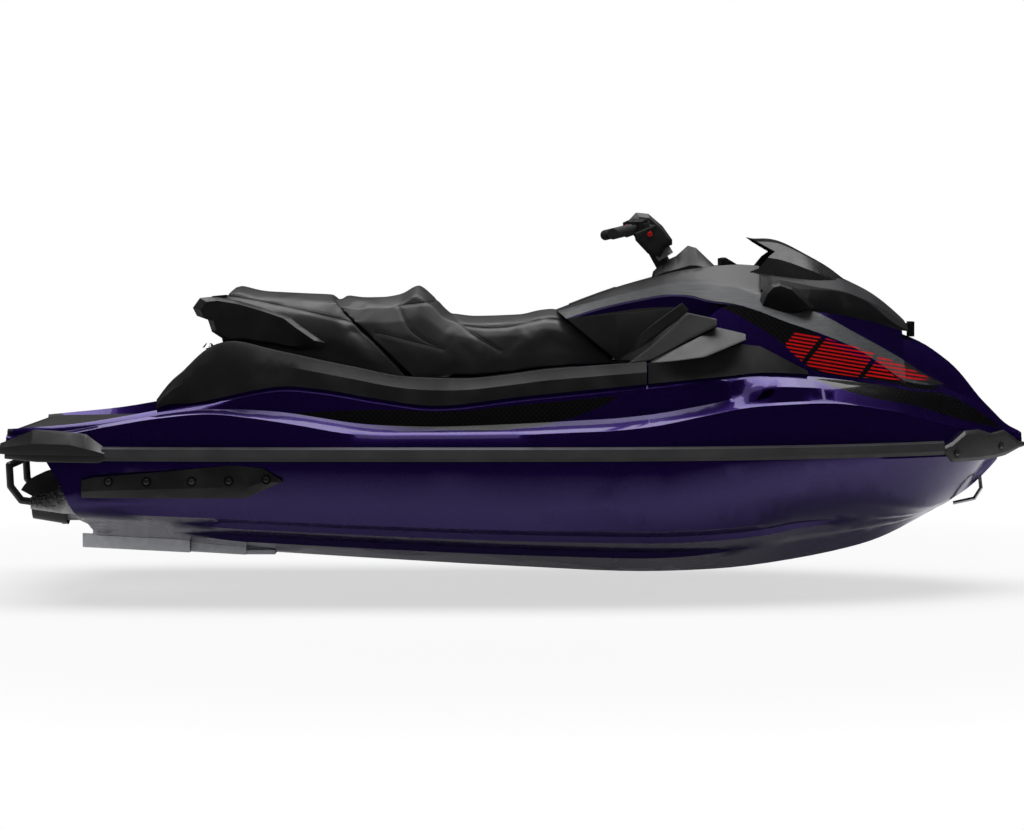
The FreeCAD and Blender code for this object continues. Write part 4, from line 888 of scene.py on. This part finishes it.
rubber, rubber_shader, tree, place = new_material("ribbed grip rubber")
mottled = two_tone(
    tree, noise(tree, place, 0.03), (0.008, 0.008, 0.008, 1.0), (0.018, 0.018, 0.018, 1.0),
)
tree.links.new(mottled, rubber_shader.inputs["Base Color"])
rubber_shader.inputs["Roughness"].default_value = 0.6
ribs = tree.nodes.new("ShaderNodeTexWave")
ribs.bands_direction = "Y"
ribs.inputs["Scale"].default_value = wave_period / rib_pitch
tree.links.new(place, ribs.inputs["Vector"])
bump(tree, rubber_shader, ribs.outputs["Fac"], rib_depth)
for side in sides:
    dressed("grip" + side, "grip_rubber", rubber, angle=40.0)

red_button, red_shader, tree, place = new_material("red button")
mottled = two_tone(
    tree, noise(tree, place, 0.01), (0.5, 0.006, 0.006, 1.0), (0.62, 0.01, 0.01, 1.0),
)
tree.links.new(mottled, red_shader.inputs["Base Color"])
red_shader.inputs["Roughness"].default_value = 0.3

for side, way in sides.items():
    start, end = (Vector((x, way * y, z)) for x, y, z in (bar_points[1], bar_points[2]))
    middle = start.lerp(end, block_share)
    block = added(
        "switch_block" + side, bpy.ops.mesh.primitive_cube_add, black_trim, red_button, size=1.0,
    )
    bpy.ops.object.mode_set(mode="EDIT")
    bpy.ops.transform.resize(value=block_size)
    shape = bmesh.from_edit_mesh(block.data)
    bpy.ops.mesh.select_all(action="DESELECT")
    min(shape.faces, key=lambda face: face.calc_center_median().x).select = True
    bmesh.update_edit_mesh(block.data)
    bpy.ops.mesh.inset(thickness=button_inset)
    bpy.ops.mesh.extrude_region_move(TRANSFORM_OT_translate={"value": (button_rise, 0.0, 0.0)})
    bpy.ops.mesh.inset(thickness=button_inset / 2)
    bpy.ops.mesh.extrude_region_move(TRANSFORM_OT_translate={"value": (-button_sink, 0.0, 0.0)})
    bpy.ops.object.mode_set(mode="OBJECT")
    cap = min(block.data.polygons, key=lambda face: face.center.x)
    cap.material_index = 1 if side == "_left" else 0
    rounded(block, block_edge)
    bpy.ops.object.shade_smooth_by_angle(angle=math.radians(35.0))
    block.rotation_euler = (end - start).to_track_quat("Y", "Z").to_euler()
    block.location = middle
    bpy.ops.object.transform_apply(location=True, rotation=True, scale=True)
    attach(block, "steering")

silver, silver_shader, tree, place = new_material("silver collar")
silver_shader.inputs["Metallic"].default_value = 0.8
mottled = two_tone(
    tree, noise(tree, place, 0.02, 4.0), (0.5, 0.5, 0.51, 1.0), (0.36, 0.36, 0.37, 1.0),
)
tree.links.new(mottled, silver_shader.inputs["Base Color"])
tree.links.new(ramp(tree, noise(tree, place, 0.01), 0.32, 0.5), silver_shader.inputs["Roughness"])
foot, head = Vector(collar_foot), Vector(collar_head)
collar = added(
    "steering_collar", bpy.ops.mesh.primitive_cylinder_add, silver,
    vertices=32, radius=collar_radius, depth=(head - foot).length,
)
bpy.ops.object.mode_set(mode="EDIT")
shape = bmesh.from_edit_mesh(collar.data)
bpy.ops.mesh.select_all(action="DESELECT")
for face in shape.faces:
    face.select = abs(face.normal.z) > 0.9
bmesh.update_edit_mesh(collar.data)
bpy.ops.mesh.inset(thickness=collar_step, depth=-collar_edge)
bpy.ops.object.mode_set(mode="OBJECT")
rounded(collar, collar_edge, segments=2)
bpy.ops.object.shade_smooth_by_angle(angle=math.radians(35.0))
collar.rotation_euler = (head - foot).to_track_quat("Z", "Y").to_euler()
collar.location = (foot + head) / 2
bpy.ops.object.transform_apply(location=True, rotation=True, scale=True)
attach(collar, "steering")

button = bolt("stop_button", *surface_at([bar_pad], *stop_place, -1.0), black_metal, red_button)
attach(button, "steering")

# ---------------------------------------------------------------- mats
# Closed-cell foam mats are glued into the footwells and on the stern platform. Grooves are
# pressed into them across the craft, and in a lattice on the platform, so water runs off.

groove_pitch = 0.034
groove_edge = (groove_pitch * 0.06, groove_pitch * 0.12)
groove_depth = 0.003


def foam_mat(name, lattice):
    """Foam with grooves across the craft, or crossing each other at this slant."""
    material, shader, tree, place = new_material(name)
    mottled = two_tone(
        tree, noise(tree, place, 0.06, 5.0), (0.014, 0.014, 0.0145, 1.0),
        (0.024, 0.024, 0.025, 1.0),
    )
    tree.links.new(mottled, shader.inputs["Base Color"])
    shader.inputs["Roughness"].default_value = 0.8
    node = tree.nodes.new("ShaderNodeSeparateXYZ")
    tree.links.new(place, node.inputs["Vector"])
    x, y = node.outputs["X"], node.outputs["Y"]
    pads = None
    for slant in (lattice, -lattice) if lattice else (0.0,):
        value = sums(tree, "ADD", x, sums(tree, "MULTIPLY", y, slant))
        wave = sums(tree, "PINGPONG", value, groove_pitch / 2)
        line = ramp(tree, wave, 0.0, 1.0, *groove_edge)
        pads = line if pads is None else sums(tree, "MINIMUM", pads, line)
    grain = sums(tree, "MULTIPLY", noise(tree, place, 0.0016), 0.12)
    bump(tree, shader, sums(tree, "ADD", pads, grain), groove_depth)
    return material


footwell_foam = foam_mat("grooved footwell foam", 0.0)
for side in sides:
    dressed("footwell_mat" + side, "mat_foam", footwell_foam, angle=30.0)
dressed("platform_mat", "mat_foam", foam_mat("lattice platform foam", 0.6), angle=30.0)

# ---------------------------------------------------------------- drive and stern fittings
# Ride plate and intake grate are cast aluminium, blasted and pale, painted paler still as painted
# light where they hang in the craft's shadow. The pump is machined, the nozzle, the reverse bucket
# and the step are coated black, and the hooks, the bracket and the impeller are stainless steel.
# The engine is hidden, and stays a plain block.


def metal(name, pale, dark, rough, grain=0.004, depth=0.00003, share=1.0):
    """Metal with blotches in its colour and its gloss. The share is how metallic it looks."""
    material, shader, tree, place = new_material(name)
    shader.inputs["Metallic"].default_value = share
    blotches = noise(tree, place, grain * 8, 5.0)
    tree.links.new(two_tone(tree, blotches, dark, pale, 0.3, 0.65), shader.inputs["Base Color"])
    dulled = ramp(tree, noise(tree, place, grain * 4, 4.0), rough - 0.06, rough + 0.1)
    tree.links.new(dulled, shader.inputs["Roughness"])
    bump(tree, shader, noise(tree, place, grain), depth)
    return material


# Partly painted light: the pale aluminium is lightened so that the plate and grate look lit in the
# shadow under the craft.
cast_pale_and_painted_light = metal(
    "blasted cast aluminium lightened as painted light", (0.85, 0.86, 0.88, 1.0), (0.7, 0.71, 0.73, 1.0), 0.5, share=0.1,
)
cast_dark = metal(
    "machined aluminium", (0.45, 0.46, 0.47, 1.0), (0.36, 0.36, 0.37, 1.0), 0.4,
    grain=0.008, depth=0.00005, share=0.6,
)
stainless = metal(
    "stainless steel", (0.55, 0.55, 0.56, 1.0), (0.42, 0.42, 0.43, 1.0), 0.25, grain=0.002,
)
dressed("ride_plate", "cast_aluminium", cast_pale_and_painted_light, edge=0.0015)
dressed("intake_grate", "cast_aluminium", cast_pale_and_painted_light, edge=0.0015)
dressed("pump_housing", "cast_aluminium", cast_dark, angle=30.0)
dressed("impeller", "steel", stainless, angle=30.0)
dressed("nozzle", "cast_aluminium", black_metal, angle=30.0)
dressed("bucket", "cast_aluminium", black_metal, angle=30.0)
dressed("boarding_step", "black_metal", black_metal, angle=40.0)
dressed("step_bracket", "steel", stainless, edge=0.001)
dressed("tow_hook", "steel", stainless, angle=40.0)
dressed("bow_eye", "steel", stainless, angle=40.0)
dressed("engine", "engine_metal", cast_dark, edge=0.004)

# ---------------------------------------------------------------- stage
# A white floor fades into a white surround. One large soft lamp hangs overhead, one low fill
# stands in front and one behind. Black flags round the set and a black ground cloth, all out
# of sight, keep the glossy sides dark.

floor_level = -0.31
floor_size = 60.0
floor_white = (0.88, 0.88, 0.88, 1.0)
floor_fade = (1.4, 3.2)
floor_glow = 0.62
surround_dim = (0.2, 0.2, 0.205, 1.0)
surround_white = (1.0, 1.0, 1.0, 1.0)
flag_radius = 8.0
flag_height = 14.0
flag_sides = 64
cloth_rise = 0.004
cloth_opening = (1.9, 0.5)
cloth_fade = (0.6, 1.5)
camera_distance = 10.0
camera_height = 0.8167
camera_pitch = math.radians(3.148)
focal_pixels = 3005.0
picture_width = 1024.0
sensor_width = 36.0

scene = bpy.context.scene


def seen_directly(tree):
    """One for rays of the camera, of gloss and through glass. Then one for rays of gloss."""
    path = tree.nodes.new("ShaderNodeLightPath").outputs
    near = sums(tree, "MAXIMUM", path["Is Camera Ray"], path["Is Glossy Ray"])
    return sums(tree, "MAXIMUM", near, path["Is Transmission Ray"]), path["Is Glossy Ray"]


white, floor_shader, tree, place = new_material("white floor")
floor = added(
    "floor", bpy.ops.mesh.primitive_plane_add, white,
    size=floor_size, location=(0.0, 0.0, floor_level),
)
floor_shader.inputs["Base Color"].default_value = floor_white
floor_shader.inputs["Roughness"].default_value = 0.8
floor_shader.inputs["Specular IOR Level"].default_value = 0.1
flat = tree.nodes.new("ShaderNodeVectorMath")
flat.operation = "LENGTH"
tree.links.new(place, flat.inputs[0])
glow = tree.nodes.new("ShaderNodeEmission")
mixed = tree.nodes.new("ShaderNodeMixShader")
seen, in_gloss = seen_directly(tree)
near_glow = ramp(tree, in_gloss, floor_glow, 0.0, 0.0, 1.0)
far = ramp(tree, flat.outputs["Value"], 0.0, 1.0, *floor_fade)
growing = sums(tree, "ADD", near_glow, sums(tree, "MULTIPLY", far, 1.0 - floor_glow))
fade = sums(tree, "MAXIMUM", near_glow, sums(tree, "MAXIMUM", far, growing))
white_share = sums(tree, "MINIMUM", sums(tree, "MULTIPLY", seen, fade), 1.0)
tree.links.new(white_share, mixed.inputs["Fac"])
tree.links.new(floor_shader.outputs["BSDF"], mixed.inputs[1])
tree.links.new(glow.outputs["Emission"], mixed.inputs[2])
tree.links.new(mixed.outputs["Shader"], tree.nodes["Material Output"].inputs["Surface"])

world = bpy.data.worlds.new("studio")
scene.world = world
world.use_nodes = True
tree = world.node_tree
surround = blended(tree, seen_directly(tree)[0], surround_dim, surround_white)
tree.links.new(surround, tree.nodes["Background"].inputs["Color"])


def black_cloth(name):
    """Cloth that gives back no light. Returns what new_material does."""
    material, shader, tree, place = new_material(name)
    shader.inputs["Base Color"].default_value = (0.0, 0.0, 0.0, 1.0)
    shader.inputs["Specular IOR Level"].default_value = 0.0
    return material, shader, tree, place


flags = added(
    "black_flags", bpy.ops.mesh.primitive_cylinder_add, black_cloth("dull black cloth")[0],
    vertices=flag_sides, radius=flag_radius, depth=flag_height, end_fill_type="NOTHING",
    location=(0.0, 0.0, floor_level + flag_height / 2),
)
frayed, frayed_shader, tree, place = black_cloth("dull black cloth with a soft edge")
split = tree.nodes.new("ShaderNodeSeparateXYZ")
tree.links.new(place, split.inputs["Vector"])
aside = sums(tree, "ABSOLUTE", split.outputs["Y"], 0.0)
tree.links.new(ramp(tree, aside, 0.0, 1.0, *cloth_fade), frayed_shader.inputs["Alpha"])
cloth = added(
    "black_ground_cloth", bpy.ops.mesh.primitive_circle_add, frayed,
    vertices=flag_sides, radius=flag_radius, fill_type="NGON",
    location=(0.0, 0.0, floor_level + cloth_rise),
)
bpy.ops.object.mode_set(mode="EDIT")
bpy.ops.mesh.inset(thickness=flag_radius - cloth_opening[1])
bpy.ops.transform.resize(value=(cloth_opening[0] / cloth_opening[1], 1.0, 1.0))
bpy.ops.mesh.delete(type="FACE")
bpy.ops.object.mode_set(mode="OBJECT")
for piece in (flags, cloth):
    piece.visible_camera = False
    piece.visible_diffuse = False
    piece.visible_shadow = False
    piece.visible_transmission = False


def lamp(name, place, target, size, power):
    """A rectangular area lamp that points at its target."""
    data = bpy.data.lights.new(name, "AREA")
    data.shape = "RECTANGLE"
    data.size, data.size_y = size
    data.energy = power
    holder = bpy.data.objects.new(name, data)
    scene.collection.objects.link(holder)
    holder.location = place
    towards = Vector(target) - Vector(place)
    holder.rotation_euler = towards.to_track_quat("-Z", "Y").to_euler()
    return holder


lamp("overhead softbox", (0.0, 0.0, 4.2), (0.0, 0.0, 0.0), (7.0, 3.0), 260.0)
for name, place in (("front fill", (0.0, -7.0, 2.2)), ("back fill", (0.0, 7.0, 2.2))):
    lamp(name, place, (0.0, 0.0, 0.2), (8.0, 1.5), 50.0).visible_glossy = False

camera = bpy.data.cameras.new("camera")
camera.sensor_width = sensor_width
camera.lens = focal_pixels / picture_width * sensor_width
camera_object = bpy.data.objects.new("camera", camera)
scene.collection.objects.link(camera_object)
camera_object.location = (0.0, -camera_distance, camera_height)
camera_object.rotation_euler = (math.pi / 2 - camera_pitch, 0.0, 0.0)
scene.camera = camera_object
scene.view_settings.view_transform = "Standard"
